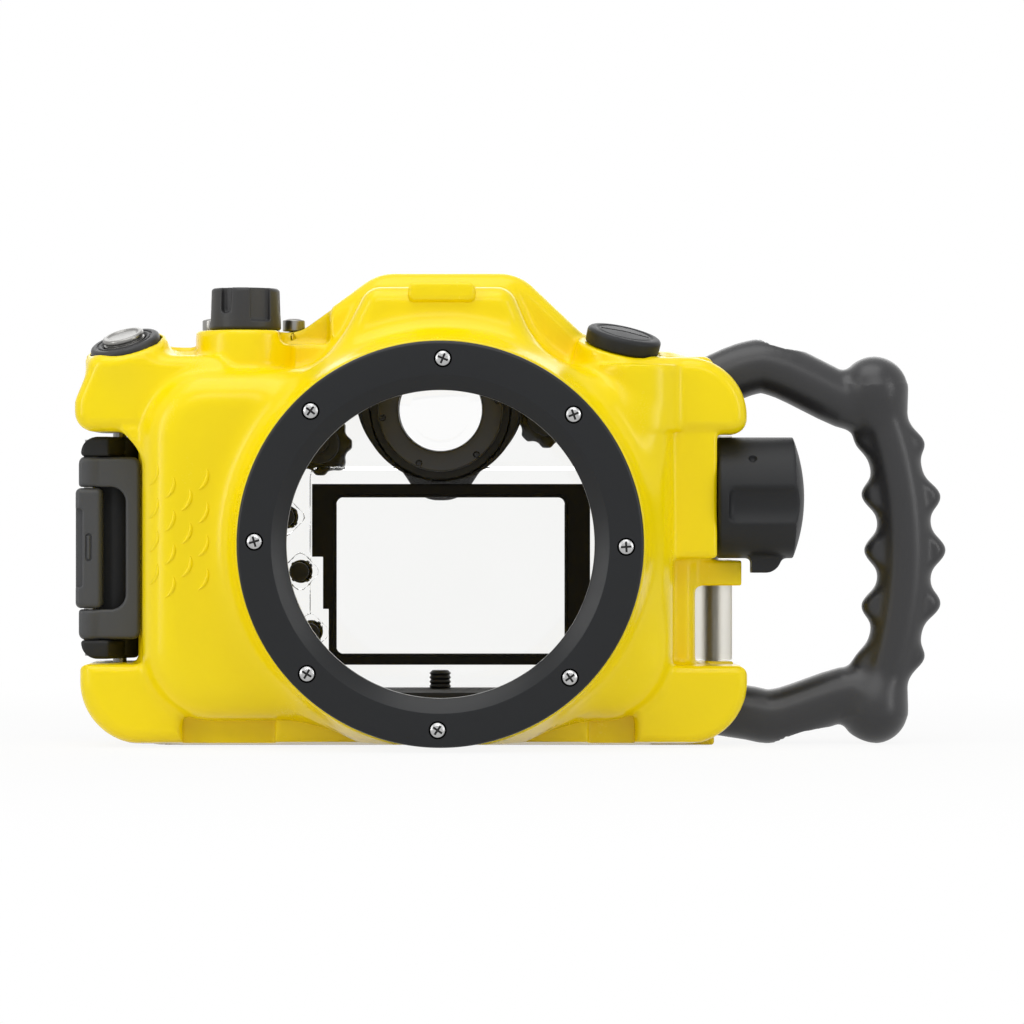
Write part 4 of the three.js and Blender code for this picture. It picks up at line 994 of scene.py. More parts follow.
def copies_round(made: Object, count: int, radius: float, centre: Point, turn: float,
                 finish: Material) -> Object:
    """Repeats a mesh on a circle about an axis along Y, each copy turned at random.

    Args:
        made: the object to repeat, built round the origin with its own axis along Y.
        count: number of copies.
        radius: circle's radius in millimetres.
        centre: circle's centre in millimetres.
        turn: where the first copy sits, degrees from the right towards straight up.
        finish: material of the copies.

    Returns:
        The same object, holding all copies.
    """
    tree = NodeTree(f"{made.name}_copies", {
        "Count": count, "Radius": radius * METRES, "Turn": -math.radians(turn),
        "Centre X": centre[0] * METRES, "Centre Y": centre[1] * METRES,
        "Centre Z": centre[2] * METRES, "Spin": 2 * math.pi, "Seed": 7})
    circle = tree.node("GeometryNodeMeshCircle", {
        "Vertices": tree.size("Count"), "Radius": tree.size("Radius")})
    stood = tree.node("GeometryNodeTransform", {
        "Geometry": circle, "Rotation": tree.vector(X=math.pi / 2, Y=tree.size("Turn")),
        "Translation": tree.vector(**{word: tree.size(f"Centre {word}") for word in "XYZ"})})
    highest, result = 3, 1
    chance = add_node(tree.tree, "FunctionNodeRandomValue", {"data_type": "FLOAT"}, {
        "Seed": tree.size("Seed"), highest: tree.size("Spin")})
    copies = tree.node("GeometryNodeInstanceOnPoints", {
        "Points": stood, "Instance": tree.source.outputs[0],
        "Rotation": tree.vector(Y=chance.outputs[result])})
    tree.end(copies)
    return tree.apply(made, finish)


# front shell

PORT_HEIGHT = 58.2
SCREW_CIRCLE = 51.9
SCREW_SHAFT = 1.9
HINGE = (79.0, 4.5)
HINGE_RADIUS = 6.0
LATCH_PIN = (-94.0, -14.0)
PIN_HOLE = 2.3
MODE_AXIS = (-57.0, -22.0)
FOCUS_AXIS = (-22.0, 71.3)
SHAFT_HOLE = 3.3
FOCUS_HOLE = 4.3
BUTTON_XS = (-67.0, -43.6)
BUTTON_Y = -10.0
SHUTTER_PLACE = Leaning((-90.8, -28.0, 114.4), -0.235, -0.32)
PLUG_PLACE = Leaning((52.0, -28.0, 116.5), 0.2126, -0.2309)
BOLT_LINES = ((103.5, 0.6), (11.5, -0.35))
BOLT_HOLE = 2.8
LUG_SEAT = 78.2
HANDLE_Y = -12.5
OPEN_BACK = (True, False)
FAR = 300.0


def body_outline(bottom: float) -> Outline:
    """Outline of the flange with its hump, shared by shell and cover."""
    low = rectangle(-88.0, 73.0, bottom, 113.5, 9.0)
    hump = polygon([(-82.6, 90.0), (70.8, 90.0), (22.0, 136.2), (-18.5, 136.2)], 14.0)
    return low.blend(hump, 7.0)


def panel(sides: tuple[float, float, float, float, float], front: float, back: float,
          edge: float = 0.0, ends: tuple[bool, bool] = (True, True)) -> Solid:
    """A plate flat across Y, its outline a rectangle: its four sides and its corners."""
    return plate(Axis.Y, rectangle(*sides), front, back, edge, ends)


def screw_places() -> list[Spot]:
    """Across and up of the eight port screws."""
    turns = [math.radians(45.0 * k - 0.8) for k in range(8)]
    return [(-SCREW_CIRCLE * math.sin(turn), PORT_HEIGHT + SCREW_CIRCLE * math.cos(turn))
            for turn in turns]


def bolt_spot(root: float, rise: float, far: float) -> Point:
    """A point on the line of a handle bolt, by its distance from the lug's seat."""
    length = math.hypot(1.0, rise)
    return (LUG_SEAT + far / length, HANDLE_Y, root + far * rise / length)


@dataclass(frozen=True)
class FrontShell:
    """The yellow moulded front half, one piece with its lugs, bosses and feet.

    Args:
        flange: depth of the flange.
        wall: thickness of the flange's wall.
        bulge: left, right, bottom, top and corners of the deep front part.
        bulge_front: how far it stands forward.
        bulge_wall: its wall.
        boss_face: how far the port boss stands forward.
        lug_front: how far the side lugs stand forward.
        pitch: mesh spacing.
    """

    flange: float = 24.0
    wall: float = 6.0
    bulge: tuple[float, float, float, float, float] = (-85.5, 66.0, 7.6, 108.0, 20.0)
    bulge_front: float = 46.0
    bulge_wall: float = 4.6
    boss_face: float = 56.0
    lug_front: float = 38.0
    pitch: float = 1.15

    @staticmethod
    def brow_outline() -> Outline:
        """Outline of the smaller step in front of the hump."""
        return polygon([(-40.0, 95.0), (35.0, 95.0), (19.5, 131.2), (-20.8, 131.2)], 6.0)

    def front(self) -> Solid:
        """The flange, the deep front part, the brow and the port boss."""
        flange = plate(Axis.Y, body_outline(0.0), -self.flange, 0.0, 4.0, OPEN_BACK)
        deep = panel(self.bulge, -self.bulge_front, -8.0, 11.0, OPEN_BACK)
        brow = plate(Axis.Y, self.brow_outline(), -44.0, -8.0, 5.0, OPEN_BACK)
        centre = (0.0, PORT_HEIGHT)
        boss = rod(Axis.Y, centre, 57.5, -self.boss_face, -44.0, 0.8, 61.0)
        root = rod(Axis.Y, centre, 61.0, -44.0, -20.0)
        ledge = box((-84.0, -20.0, 100.0), (-69.0, -0.2, 114.8), 1.2)
        body = flange.blend(deep, 3.0).blend(brow, 5.0) | ledge
        return body.blend(boss | root, 7.0)

    def left_lugs(self) -> Solid:
        """The two lugs that hold the latch pin, with the shutter release's collar."""
        front, back = -self.lug_front, -2.0
        lower = panel((-103.5, -74.0, -30.0, 23.7, 2.6), front, back, 2.5)
        heel = panel((-103.5, -20.0, 0.8, 80.0, 18.0), front, back, 5.0)
        upper = plate(Axis.Y, polygon([(-104.9, 90.2), (-60.0, 90.2), (-60.0, 112.0),
                                       (-99.5, 112.0), (-104.9, 99.0)], 5.5), front, back, 4.0)
        web = plate(Axis.Y, polygon([(-92.2, 91.5), (-84.0, 82.2), (-78.0, 82.2),
                                     (-78.0, 91.5)], 1.0), front, -29.5, 1.5)
        collar = SHUTTER_PLACE.moved(rod(Axis.Z, (0.0, 0.0), 12.4, -14.0, 0.2, 1.2, 12.0))
        return (lower & heel) | upper.blend(web, 2.0).blend(collar, 4.0)

    def right_lugs(self) -> Solid:
        """The lugs that hide the handle's roots and the three hinge ears."""
        depth = (-self.lug_front, -22.3)
        lower = (panel((-20.0, 87.2, 0.8, 80.0, 18.0), *depth, 3.0, OPEN_BACK)
                 & panel((55.0, 87.2, -30.0, 23.3, 3.0), *depth, 2.5, OPEN_BACK))
        upper = (panel((-20.0, 87.2, 60.0, 111.4, 17.0), *depth, 4.0, OPEN_BACK)
                 & panel((50.0, 87.2, 89.4, 150.0, 4.5), *depth, 4.0, OPEN_BACK))
        back_low = box((50.0, -27.0, 0.0), (LUG_SEAT, -0.2, 23.3), 1.5)
        back_high = box((50.0, -27.0, 89.9), (LUG_SEAT, -0.2, 112.0), 3.0)
        middle = box((50.0, -21.0, 45.9), (86.4, -2.0, 53.2), 0.9)
        ears = [rod(Axis.Z, HINGE, HINGE_RADIUS, low, high, 0.8)
                | box((73.2, -2.5, low), (85.0, 4.5, high), 0.8)
                for low, high in ((3.2, 23.3), (45.9, 53.2), (89.9, 98.0))]
        return together([lower, upper, back_low, back_high, middle, *ears])

    def bosses(self) -> Solid:
        """The raised deck and the bosses of the controls."""
        raised = box((-71.0, -23.0, 96.0), (-33.0, -0.2, 119.3), 1.4)
        knob = rod(Axis.Z, MODE_AXIS, 14.0, 96.0, 119.3, 1.4)
        plug = PLUG_PLACE.moved(rod(Axis.Z, (0.0, 0.0), 13.4, -16.0, -2.45, 1.2, 12.8))
        column = rod(Axis.Z, (55.5, -31.0), 14.0, 90.5, 109.0, 0.8)
        focus = box((50.0, -37.0, 54.0), (78.6, -4.5, 89.9), 1.6)
        return raised.blend(knob, 1.0) | plug.blend(column, 3.0) | focus

    def extras(self) -> Solid:
        """Base pad and strips, sill and the small blank panel on the hump."""
        pad = box((-47.4, -37.0, -2.0), (41.7, -15.0, 12.0), 1.0).blend(
            box((-76.0, -33.0, -2.0), (60.0, -15.0, 13.0), 1.0), 1.5)
        sill = box((-30.0, -3.0, -2.0), (30.0, 8.0, 2.2), 0.6)
        return pad | sill | panel((-9.4, 9.6, 126.7, 132.4, 2.2), -45.3, -40.0, 1.3)

    def spaces(self) -> Solid:
        """The inside: bay, flange space, brow space and port bore."""
        bay = plate(Axis.Y, rectangle(*self.bulge).inset(self.bulge_wall),
                    self.bulge_wall - self.bulge_front, 12.0, 6.0)
        skirt = plate(Axis.Y, body_outline(0.0).inset(self.wall), self.wall - self.flange, 6.0)
        brow = plate(Axis.Y, self.brow_outline().inset(5.0), -39.0, -10.0)
        bore, step, outer, inner = (
            rod(Axis.Y, (0.0, PORT_HEIGHT), radius, front, back) for radius, front, back in (
                (43.5, -60.0, -40.0), (45.7, -50.0, -20.0), (48.9, -60.0, -53.8),
                (45.1, -62.0, -50.0)))
        return together([bay, skirt, brow, bore | step, outer - inner])

    def holes(self) -> Solid:
        """Holes for pins, shafts, stems, plug and tripod insert."""
        middle = (0.0, 0.0)
        shutter = together([rod(Axis.Z, middle, radius, low, high) for radius, low, high in (
            (6.3, -5.3, 3.0), (2.3, -12.2, 0.0), (10.5, -2.3, 12.0))])
        plug = rod(Axis.Z, middle, 7.3, -21.0, 3.0) | rod(Axis.Z, middle, 11.3, -2.45, 12.0)
        made = [rod(Axis.Z, LATCH_PIN, PIN_HOLE, 13.7, 98.3),
                rod(Axis.Z, HINGE, PIN_HOLE, 1.2, 97.3),
                rod(Axis.Z, MODE_AXIS, SHAFT_HOLE, 90.0, 124.0),
                rod(Axis.X, FOCUS_AXIS, FOCUS_HOLE, 50.0, 82.0),
                rod(Axis.Z, (0.0, -12.0), 5.3, -3.0, 5.2),
                box((-97.0, -34.0, 95.0), (-76.3, -18.5, 105.0), 0.5),
                SHUTTER_PLACE.moved(shutter), PLUG_PLACE.moved(plug)]
        for x in BUTTON_XS:
            made.append(rod(Axis.Z, (x, BUTTON_Y), 1.8, 90.0, 124.0))
            made.append(rod(Axis.Z, (x, BUTTON_Y), 3.8, 116.3, 140.0))
        made += [rod(Axis.Y, place, SCREW_SHAFT, -60.0, -47.5) for place in screw_places()]
        made += [limb([bolt_spot(*line, far) for far in (-8.3, 3.0)], BOLT_HOLE)
                 for line in BOLT_LINES]
        return together(made)

    def solid(self) -> Solid:
        """The whole shell."""
        trough = box((-46.8, -60.0, 115.6), (-32.4, -14.4, 128.0), 2.4)
        walls = box((-49.0, -60.0, 113.3), (-30.2, -12.2, 130.0), 2.0)
        body = self.front().blend(self.left_lugs(), 3.0).blend(self.right_lugs(), 2.5)
        body = body.blend(self.bosses(), 2.0).carve(trough, 1.5) | self.extras()
        draft = polygon([(-24.0, -30.0), (-24.0, 0.0), (-39.0, 1.9), (-60.0, 1.9),
                         (-60.0, -30.0)], 0.0)
        ground = box((-FAR, -FAR, -60.0), (FAR, FAR, 0.0)) | plate(Axis.X, draft, -FAR, FAR)
        parting = box((-FAR, 0.02, 2.3), (72.5, 60.0, FAR))
        return body - (self.spaces() - walls) - self.holes() - ground - parting

    def build(self, finishes: Finishes) -> list[Object]:
        """Makes the shell."""
        solid = self.solid()
        made = skin("shell_moulding", solid, (-106.0, -57.5, -0.5), (89.0, 11.5, 137.5),
                    self.pitch)
        dress(made, finishes.shell)
        recolour(["tripod_insert"], finishes.brass)
        scales = dress(GripScales().mesh(solid), finishes.shell)
        return [seat(made, "housing", "yellow_shell", "front_shell"),
                seat(scales, "housing", "yellow_shell")]


@dataclass(frozen=True)
class GripScales:
    """Raised arcs in a scale pattern, where the left hand holds the shell.

    Args:
        first: across and up of one scale's middle.
        column: step to the next column, across and up.
        row: step to the next row, up.
        radius: radius of an arc.
        sweep: where an arc starts and ends, degrees from the right.
        thick: half the width of an arc's ridge.
        proud: height of the ridge over the shell.
        sides: where the pattern ends on the left and on the right.
        ends: where it ends below and above.
    """

    first: Spot = (-80.6, 75.6)
    column: Spot = (4.75, -3.55)
    row: float = -9.4
    radius: float = 5.0
    sweep: Spot = (18.0, -62.0)
    thick: float = 0.62
    proud: float = 0.42
    sides: Spot = (-83.2, -65.0)
    ends: Spot = (42.0, 80.5)

    def middles(self) -> list[Spot]:
        """The middles of the scales inside the pattern's bounds."""
        made = []
        for c, r in product(range(-2, 5), range(-3, 5)):
            x = self.first[0] + c * self.column[0]
            z = self.first[1] + c * self.column[1] + r * self.row
            if (self.sides[0] < x + self.radius * 0.7 < self.sides[1]
                    and self.ends[0] + self.radius * 0.5 < z < self.ends[1]):
                made.append((x, z))
        return made

    @staticmethod
    def on_front(solid: Solid, x: Array, z: Array) -> Array:
        """Points of the solid's front over places across and up."""
        y = np.full(len(x), -62.0)
        for _ in range(60):
            y = y + np.clip(solid.distance(x, y, z), -0.5, 2.0) * 0.8
        return np.column_stack([x, y, z])

    def mesh(self, solid: Solid) -> Object:
        """The ridges as one mesh of tapered strips that follow the solid's front.

        Args:
            solid: the shell that carries them.

        Returns:
            The new object.
        """
        steps, sides = 13, 8
        turn = np.radians(np.linspace(*self.sweep, steps))
        share = np.sin(np.linspace(0.06, math.pi - 0.06, steps)) ** 0.6
        points, faces = [], []
        for x, z in self.middles():
            line = self.on_front(solid, x + self.radius * np.cos(turn),
                                 z + self.radius * np.sin(turn))
            out = unit(slope_at(solid, line, 0.3))
            across = unit(np.cross(out, unit(np.gradient(line, axis=0))))
            base = len(points)
            for i, k in product(range(steps), range(sides)):
                angle = 2 * math.pi * k / sides
                points.append(line[i] + share[i] * (
                    across[i] * self.thick * math.cos(angle)
                    + out[i] * self.proud * math.sin(angle)))
            for i, k in product(range(steps - 1), range(sides)):
                a, b = base + i * sides + k, base + i * sides + (k + 1) % sides
                faces.append((a, b, b + sides, a + sides))
            faces.append(tuple(base + k for k in range(sides)))
            faces.append(tuple(base + (steps - 1) * sides + k for k in reversed(range(sides))))
        made = make_object("grip_scales", np.array(points), faces)
        finish_mesh(made, 60.0, 1e-7)
        return made


# port ring


@dataclass(frozen=True)
class PortRing:
    """The black port ring, its eight screws and its seal.

    Args:
        bore: inner radius.
        outer: outer radius.
        land: radius where the flat face ends and the bevel begins.
        face: how far the face stands forward.
        back: where its back lies.
        head: radius of a screw head.
    """

    bore: float = 43.15
    outer: float = 56.9
    land: float = 47.3
    face: float = 62.0
    back: float = 56.3
    head: float = 2.4

    def ring_mesh(self, finishes: Finishes) -> Object:
        """The turned ring with its sunk screw seats."""
        profile = [(self.bore, -self.back, 0.3), (self.outer, -self.back, 0.4),
                   (self.outer, -self.face, 1.0), (self.land, -self.face, 0.4),
                   (self.bore, 2.8 - self.face, 0.5)]
        made = lathe("ring_body", profile, 288, along_y(0.0, PORT_HEIGHT), 5)
        wide, floor = self.head + 0.14, 1.2 - self.face
        hole = [(0.0, -70.0, 0.0), (wide, -70.0, 0.0), (wide, floor, 0.1),
                (SCREW_SHAFT, floor, 0.0), (SCREW_SHAFT, -50.0, 0.0), (0.0, -50.0, 0.0)]
        carve_mesh(made, [lathe("seat_tool", hole, 40, along_y(*place))
                          for place in screw_places()])
        finish_mesh(made)
        return dress(made, finishes.ring)

    def screws(self, finishes: Finishes) -> Object:
        """Eight pan-head cross screws, each turned at random."""
        top, foot = 0.9 - self.face - 1.6, -48.7
        profile = [(0.0, top, 0.0), (1.3, top + 0.1, 0.4), (2.05, top + 0.45, 0.5),
                   (self.head, top + 1.2, 0.3), (self.head, top + 1.6, 0.1),
                   (1.5, top + 1.6, 0.1), (1.5, foot, 0.4), (0.0, foot, 0.0)]
        made = lathe("port_screws", profile, 40, along_y(0.0, 0.0))
        carve_mesh(made, [box_mesh("blade", (-x, top - 1.0, -z), (x, top + 1.2, z))
                          for x, z in ((1.5, 0.3), (0.3, 1.5))])
        finish_mesh(made)
        return copies_round(made, 8, SCREW_CIRCLE, (0.0, 0.0, PORT_HEIGHT), -0.8,
                            finishes.screw)

    def build(self, finishes: Finishes) -> list[Object]:
        """Makes the ring and its screws."""
        recolour(["port_seal"], finishes.rubber)
        return [seat(self.ring_mesh(finishes), "housing", "anodised_ring", "port_ring"),
                seat(self.screws(finishes), "housing", "steel",
                     *(f"port_screw_{k}" for k in range(1, 9)))]


# handle


@dataclass(frozen=True)
class Handle:
    """The D handle: two round arms, knuckles and a rippled grip.

    Args:
        arm: radius of the arms.
        knuckle: radius of the knuckles.
        knuckle_x: where the knuckles stand.
        grip_x: the grip's place half way up.
        grip_z: height of the grip's middle.
        half_height: half the grip's length.
        bow: how far its ends lean in.
        half_width: half the flange's width between ripples.
        taper: how much narrower the flange is at its ends.
        ripple: height of a ripple.
        pitch_z: distance between ripples.
        tube: radius of the round core.
        flange: half the thickness of the rippled flange.
        pocket: radius of the bolt pockets.
        pitch: mesh spacing.
    """

    arm: float = 7.85
    knuckle: float = 9.8
    knuckle_x: float = 125.4
    grip_x: float = 134.4
    grip_z: float = 56.1
    half_height: float = 41.5
    bow: float = 7.8
    half_width: float = 9.55
    taper: float = 2.4
    ripple: float = 2.25
    pitch_z: float = 16.0
    tube: float = 7.4
    flange: float = 3.9
    pocket: float = 4.2
    pitch: float = 0.75

    def arms(self) -> Solid:
        """Both arms with their knuckles."""
        made = []
        for root, near, far, elbow, knuckle in ((101.5, 108.8, 108.4, 98.8, 102.6),
                                                (11.5, 8.9, 8.1, 14.6, 9.7)):
            knots = [(x, HANDLE_Y, z) for x, z in (
                (72.0, root), (88.0, near), (98.0, far), (119.0, elbow),
                (self.knuckle_x, knuckle))]
            made.append(limb(path_points(knots, 22), self.arm).blend(
                ball(knots[-1], self.knuckle), 2.5))
        return together(made)

    def grip(self) -> Solid:
        """The rippled grip: a flat flange with a round core."""

        def distance(x: Array, y: Array, z: Array) -> Array:
            """Distance across the grip at each height."""
            share = np.clip((z - self.grip_z) / self.half_height, -1.1, 1.1)
            wave = np.cos(2 * np.pi * (z - self.grip_z) / self.pitch_z)
            fade = np.maximum(1 - share ** 8, 0.0)
            half = self.half_width - self.taper * share ** 2 + self.ripple * wave * fade
            across = np.abs(x - self.grip_x + self.bow * share ** 2)
            deep = np.abs(y - HANDLE_Y)
            flange = np.hypot(np.maximum(across - half + self.flange, 0.0), deep) - self.flange
            whole = smooth_least(flange, np.hypot(across, deep) - self.tube, 2.0)
            return np.maximum(whole, np.abs(z - self.grip_z) - self.half_height - 4.0)

        return Solid(distance)

    def solid(self) -> Solid:
        """The whole handle with its bolt pockets."""
        body = self.arms().blend(self.grip(), 4.0)
        body = body - box((0.0, -60.0, -20.0), (78.5, 60.0, 108.8))
        body = body - box((0.0, -60.0, -20.0), (74.0, 60.0, 160.0))
        for line in BOLT_LINES:
            pocket = half_open(bolt_spot(*line, 8.7), bolt_spot(*line, 48.7), self.pocket)
            body = body.carve(pocket, 1.3)
            body = body - limb([bolt_spot(*line, far) for far in (-3.0, 9.0)], BOLT_HOLE)
        return body

    def build(self, finishes: Finishes) -> list[Object]:
        """Makes the handle."""
        made = skin("handle_loop", self.solid(), (74.0, -23.0, -0.5), (147.5, -2.0, 118.0),
                    self.pitch)
        dress(made, finishes.handle)
        recolour(["handle_bolt_top", "handle_bolt_bottom"], finishes.screw)
        return [seat(made, "housing", "handle_grey", "handle")]


def half_open(start: Point, end: Point, radius: float) -> Solid:
    """A round hole with flat ends at two points."""
    length = math.dist(start, end)
    way = [(b - a) / length for a, b in zip(start, end)]

    def distance(*point: Array) -> Array:
        """The hole's distance."""
        away = [v - c for v, c in zip(point, start)]
        along = sum(v * d for v, d in zip(away, way))
        reach = np.sqrt(np.maximum(sum(v * v for v in away) - along ** 2, 0.0))
        return meet(reach - radius, slab_distance(along, 0.0, length), 0.3)

    return Solid(distance)


# latch


@dataclass(frozen=True)
class Latch:
    """The side latch: dark hook block, grey lever frame, rocking lock and pins.

    Args:
        hook_ends: lower and upper end of the hook.
        lever_ends: lower and upper end of the lever.
        lever_pin: axis of the lever pin.
        lever_hole: radius of the hole round it.
        knuckle: height of the lever's knuckles.
        pitch: mesh spacing.
    """

    hook_ends: Spot = (24.9, 88.9)
    lever_ends: Spot = (30.6, 83.0)
    lever_pin: Spot = (-101.5, -24.0)
    lever_hole: float = 1.9
    knuckle: float = 8.6
    pitch: float = 0.55

    def hook(self) -> Solid:
        """The block that turns on the latch pin and grips the cover's rib."""
        low, high = self.hook_ends
        arm = box((-100.2, -10.0, low), (-92.5, 13.0, high), 1.2)
        tip = box((-95.0, 8.3, low), (-88.9, 12.4, high), 0.8)
        root = box((-104.0, -19.4, low), (-94.0, -4.5, high), 2.0)
        eye = rod(Axis.Z, LATCH_PIN, 5.5, low, high, 1.2)
        ear = polygon([(-104.0, -27.1), (-96.0, -27.1), (-92.0, -19.4), (-94.0, -13.9),
                       (-104.0, -13.9)], 1.2)
        ears = [plate(Axis.Z, ear, a, b, 1.0) for a, b in (
            (low, self.lever_ends[0] - 0.3), (self.lever_ends[1] + 0.3, high))]
        made = together([arm.blend(tip, 1.0).blend(root, 2.0).blend(eye, 2.0), *ears])
        made = made & panel((-104.0, -70.0, low, high, 5.0), -40.0, 20.0)
        made = made - rod(Axis.Z, LATCH_PIN, PIN_HOLE, 0.0, 120.0)
        return made - rod(Axis.Z, self.lever_pin, self.lever_hole, low + 0.6, high - 0.6)

    def lever(self) -> Solid:
        """The framed plate with its two knuckles."""
        low, high = self.lever_ends
        inner = (low + self.knuckle, high - self.knuckle)
        front = self.lever_pin[1] - 3.1
        made = panel((-104.6, -87.0, low, high, 2.2), front + 0.5, front + 2.9, 1.1)
        for a, b in ((low, inner[0]), (inner[1], high)):
            made = made.blend(rod(Axis.Z, self.lever_pin, 3.1, a, b, 1.4), 1.0)
        window = panel((-112.0, -91.2, *inner, 4.4), -40.0, -10.0)
        return made.carve(window, 1.0) - rod(Axis.Z, self.lever_pin, self.lever_hole, 0.0, 120.0)

    def lock(self) -> Solid:
        """The rocking bar between the knuckles."""
        gap = self.knuckle + 0.3
        x, y = self.lever_pin
        made = box((-105.6, y - 3.3, self.lever_ends[0] + gap),
                   (-97.9, y + 3.3, self.lever_ends[1] - gap), 1.6)
        nick = panel((-110.0, -103.4, 45.4, 68.2, 1.0), -40.0, y - 1.7, 0.3)
        oval = panel((-102.6, -100.8, 53.0, 61.0, 0.9), -40.0, y - 2.7)
        rib = box((-102.1, y - 3.5, 53.6), (-101.3, y - 2.0, 60.4), 0.35)
        made = made.carve(nick, 0.4).carve(oval, 0.25) | rib
        return made - rod(Axis.Z, (x, y), self.lever_hole, 0.0, 120.0)

    def build(self, finishes: Finishes) -> list[Object]:
        """Makes hook, lever and lock."""
        recolour(["latch_pin", "lever_pin"], finishes.steel)
        made = []
        for name, solid, low, high, fine, finish in (
                ("hook_block", self.hook(), (-104.5, -27.5, 24.0), (-88.0, 13.5, 90.0), 1.0,
                 finishes.latch_dark),
                ("lever_frame", self.lever(), (-105.0, -27.5, 30.0), (-86.5, -20.5, 83.5), 0.8,
                 finishes.latch),
                ("lock_bar", self.lock(), (-106.0, -28.0, 39.0), (-97.5, -20.0, 75.0), 0.6,
                 finishes.latch)):
            body = name.split("_", 1)[0]
            piece = dress(skin(f"latch_{name}", solid, low, high, self.pitch * fine), finish)
            made.append(seat(piece, body, "latch_grey", f"latch_{body}"))
        return made


# controls on top


def coil(name: str, radius: float, wire: float, bottom: float, top: float, turns: float,
         place: Placing, finish: Material) -> Object:
    """A coil spring about the Z of its own frame, made by a Geometry Nodes sweep.

    Args:
        name: the new object's name.
        radius: from its axis to the wire's middle.
        wire: radius of the wire.
        bottom: height of its lower end.
        top: height of its upper end.
        turns: number of turns.
        place: puts points of its own frame in the housing's frame.
        finish: its material.
    """
    made = make_object(name, np.zeros((1, 3)), [])
    tree = NodeTree(f"{name}_sweep", {
        "Turns": turns, "Radius": radius * METRES, "Wire": wire * METRES,
        "Height": (top - bottom - 2 * wire) * METRES})
    line = tree.node("GeometryNodeCurveSpiral", {
        "Resolution": 20, "Rotations": tree.size("Turns"), "Start Radius": tree.size("Radius"),
        "End Radius": tree.size("Radius"), "Height": tree.size("Height")})
    round_wire = tree.node("GeometryNodeCurvePrimitiveCircle", {
        "Resolution": 8, "Radius": tree.size("Wire")})
    tree.end(tree.node("GeometryNodeCurveToMesh", {
        "Curve": line, "Profile Curve": round_wire, "Fill Caps": True}))
    tree.apply(made, finish)
    put(made, lambda points: place(points + np.array([0.0, 0.0, bottom + wire])))
    made.data.polygons.foreach_set("use_smooth", [True] * len(made.data.polygons))
    made.data.update()
    return made


@dataclass(frozen=True)
class ShutterRelease:
    """The leaning shutter release: bezel, steel button and spring.

    Args:
        bezel: outer radius of the bezel.
        button: radius of the button.
        half: half the bezel's height.
        proud: how far the button stands above the bezel.
        spring_foot: where its spring starts.
    """

    bezel: float = 10.15
    button: float = 6.0
    half: float = 2.3
    proud: float = 1.8
    spring_foot: float = -5.0

    def build(self, finishes: Finishes) -> list[Object]:
        """Makes bezel, button and spring."""
        bore, half, top = self.button + 0.3, self.half, self.half + self.proud
        bezel = lathe("shutter_bezel_ring", [
            (bore, 0.3 - half, 0.1), (self.bezel, 0.3 - half, 0.4), (self.bezel, half, 1.1),
            (self.bezel - 1.9, half, 0.2), (self.bezel - 2.0, half - 0.35, 0.1),
            (self.bezel - 2.5, half - 0.35, 0.1), (self.bezel - 2.6, half, 0.2),
            (bore + 0.7, half, 0.3), (bore, half - 0.7, 0.2)], 96, SHUTTER_PLACE.place)
        cap = self.button
        button = lathe("shutter_button_cap", [
            (0.0, -15.0, 0.0), (3.2, -15.0, 0.2), (3.2, -13.6, 0.2), (2.0, -13.6, 0.0),
            (2.0, top - 4.4, 0.0), (cap, top - 4.4, 0.2), (cap, top - 1.9, 0.1),
            (cap - 0.5, top - 1.7, 0.1), (cap - 0.5, top - 1.3, 0.1), (cap, top - 1.1, 0.1),
            (cap, top, 0.5), (cap - 1.2, top, 0.2), (cap - 1.9, top - 0.35, 0.3),
            (0.0, top - 0.45, 0.0)], 96, SHUTTER_PLACE.place)
        spring = coil("shutter_coil", 2.9, 0.32, self.spring_foot, -0.6, 4.5,
                      SHUTTER_PLACE.place, finishes.screw)
        dress(bezel, finishes.knob)
        dress(button, finishes.steel)
        seat(bezel, "housing", "knob_black", "shutter_bezel")
        seat(button, "shutter_release", "steel", "shutter_button")
        seat(spring, "housing", "steel", "shutter_spring")
        foot = SHUTTER_PLACE.place(np.array([[0.0, 0.0, self.spring_foot]]))[0] * METRES
        tuple(SHUTTER_PLACE.axes()[2])
        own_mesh(spring)
        return [bezel, button, spring]


@dataclass(frozen=True)
class ModeKnob:
    """The fluted mode knob on its shaft.

    Args:
        radius: its radius.
        bottom: its lower end.
        top: its upper end.
        pitch: mesh spacing.
    """

    radius: float = 10.2
    bottom: float = 119.6
    top: float = 131.6
    pitch: float = 0.45

    def solid(self) -> Solid:
        """The knob with three narrow and three wide flutes."""
        made = rod(Axis.Z, MODE_AXIS, self.radius + 0.15, self.bottom, self.top, 0.9,
                   self.radius - 0.25)
        cap = rod(Axis.Z, MODE_AXIS, self.radius - 2.6, self.top - 0.5, self.top + 2.0, 0.3)
        made = made.carve(cap, 0.4)
        for k in range(6):
            half, foot, corner = ((1.65, 4.7, 1.3), (3.1, 2.4, 0.8))[k % 2]
            cut = flute((k - 2) * math.pi / 3, self.radius + 1.2, half,
                        (self.bottom + foot, self.top + 4.0), corner)
            made = made.carve(cut, 0.4)
        return made - rod(Axis.Z, MODE_AXIS, SHAFT_HOLE, 100.0, self.top - 3.0)

    def build(self, finishes: Finishes) -> list[Object]:
        """Makes the knob."""
        x, y = MODE_AXIS
        knob = dress(skin("mode_knob_body", self.solid(), (x - 10.4, y - 10.4, self.bottom - 0.2),
                          (x + 10.4, y + 10.4, self.top + 0.2), self.pitch), finishes.knob)
        recolour(["mode_shaft", "mode_clip"], finishes.steel)
        recolour(["mode_cup"], finishes.rubber)
        return [seat(knob, "mode_dial", "knob_black", "mode_knob")]


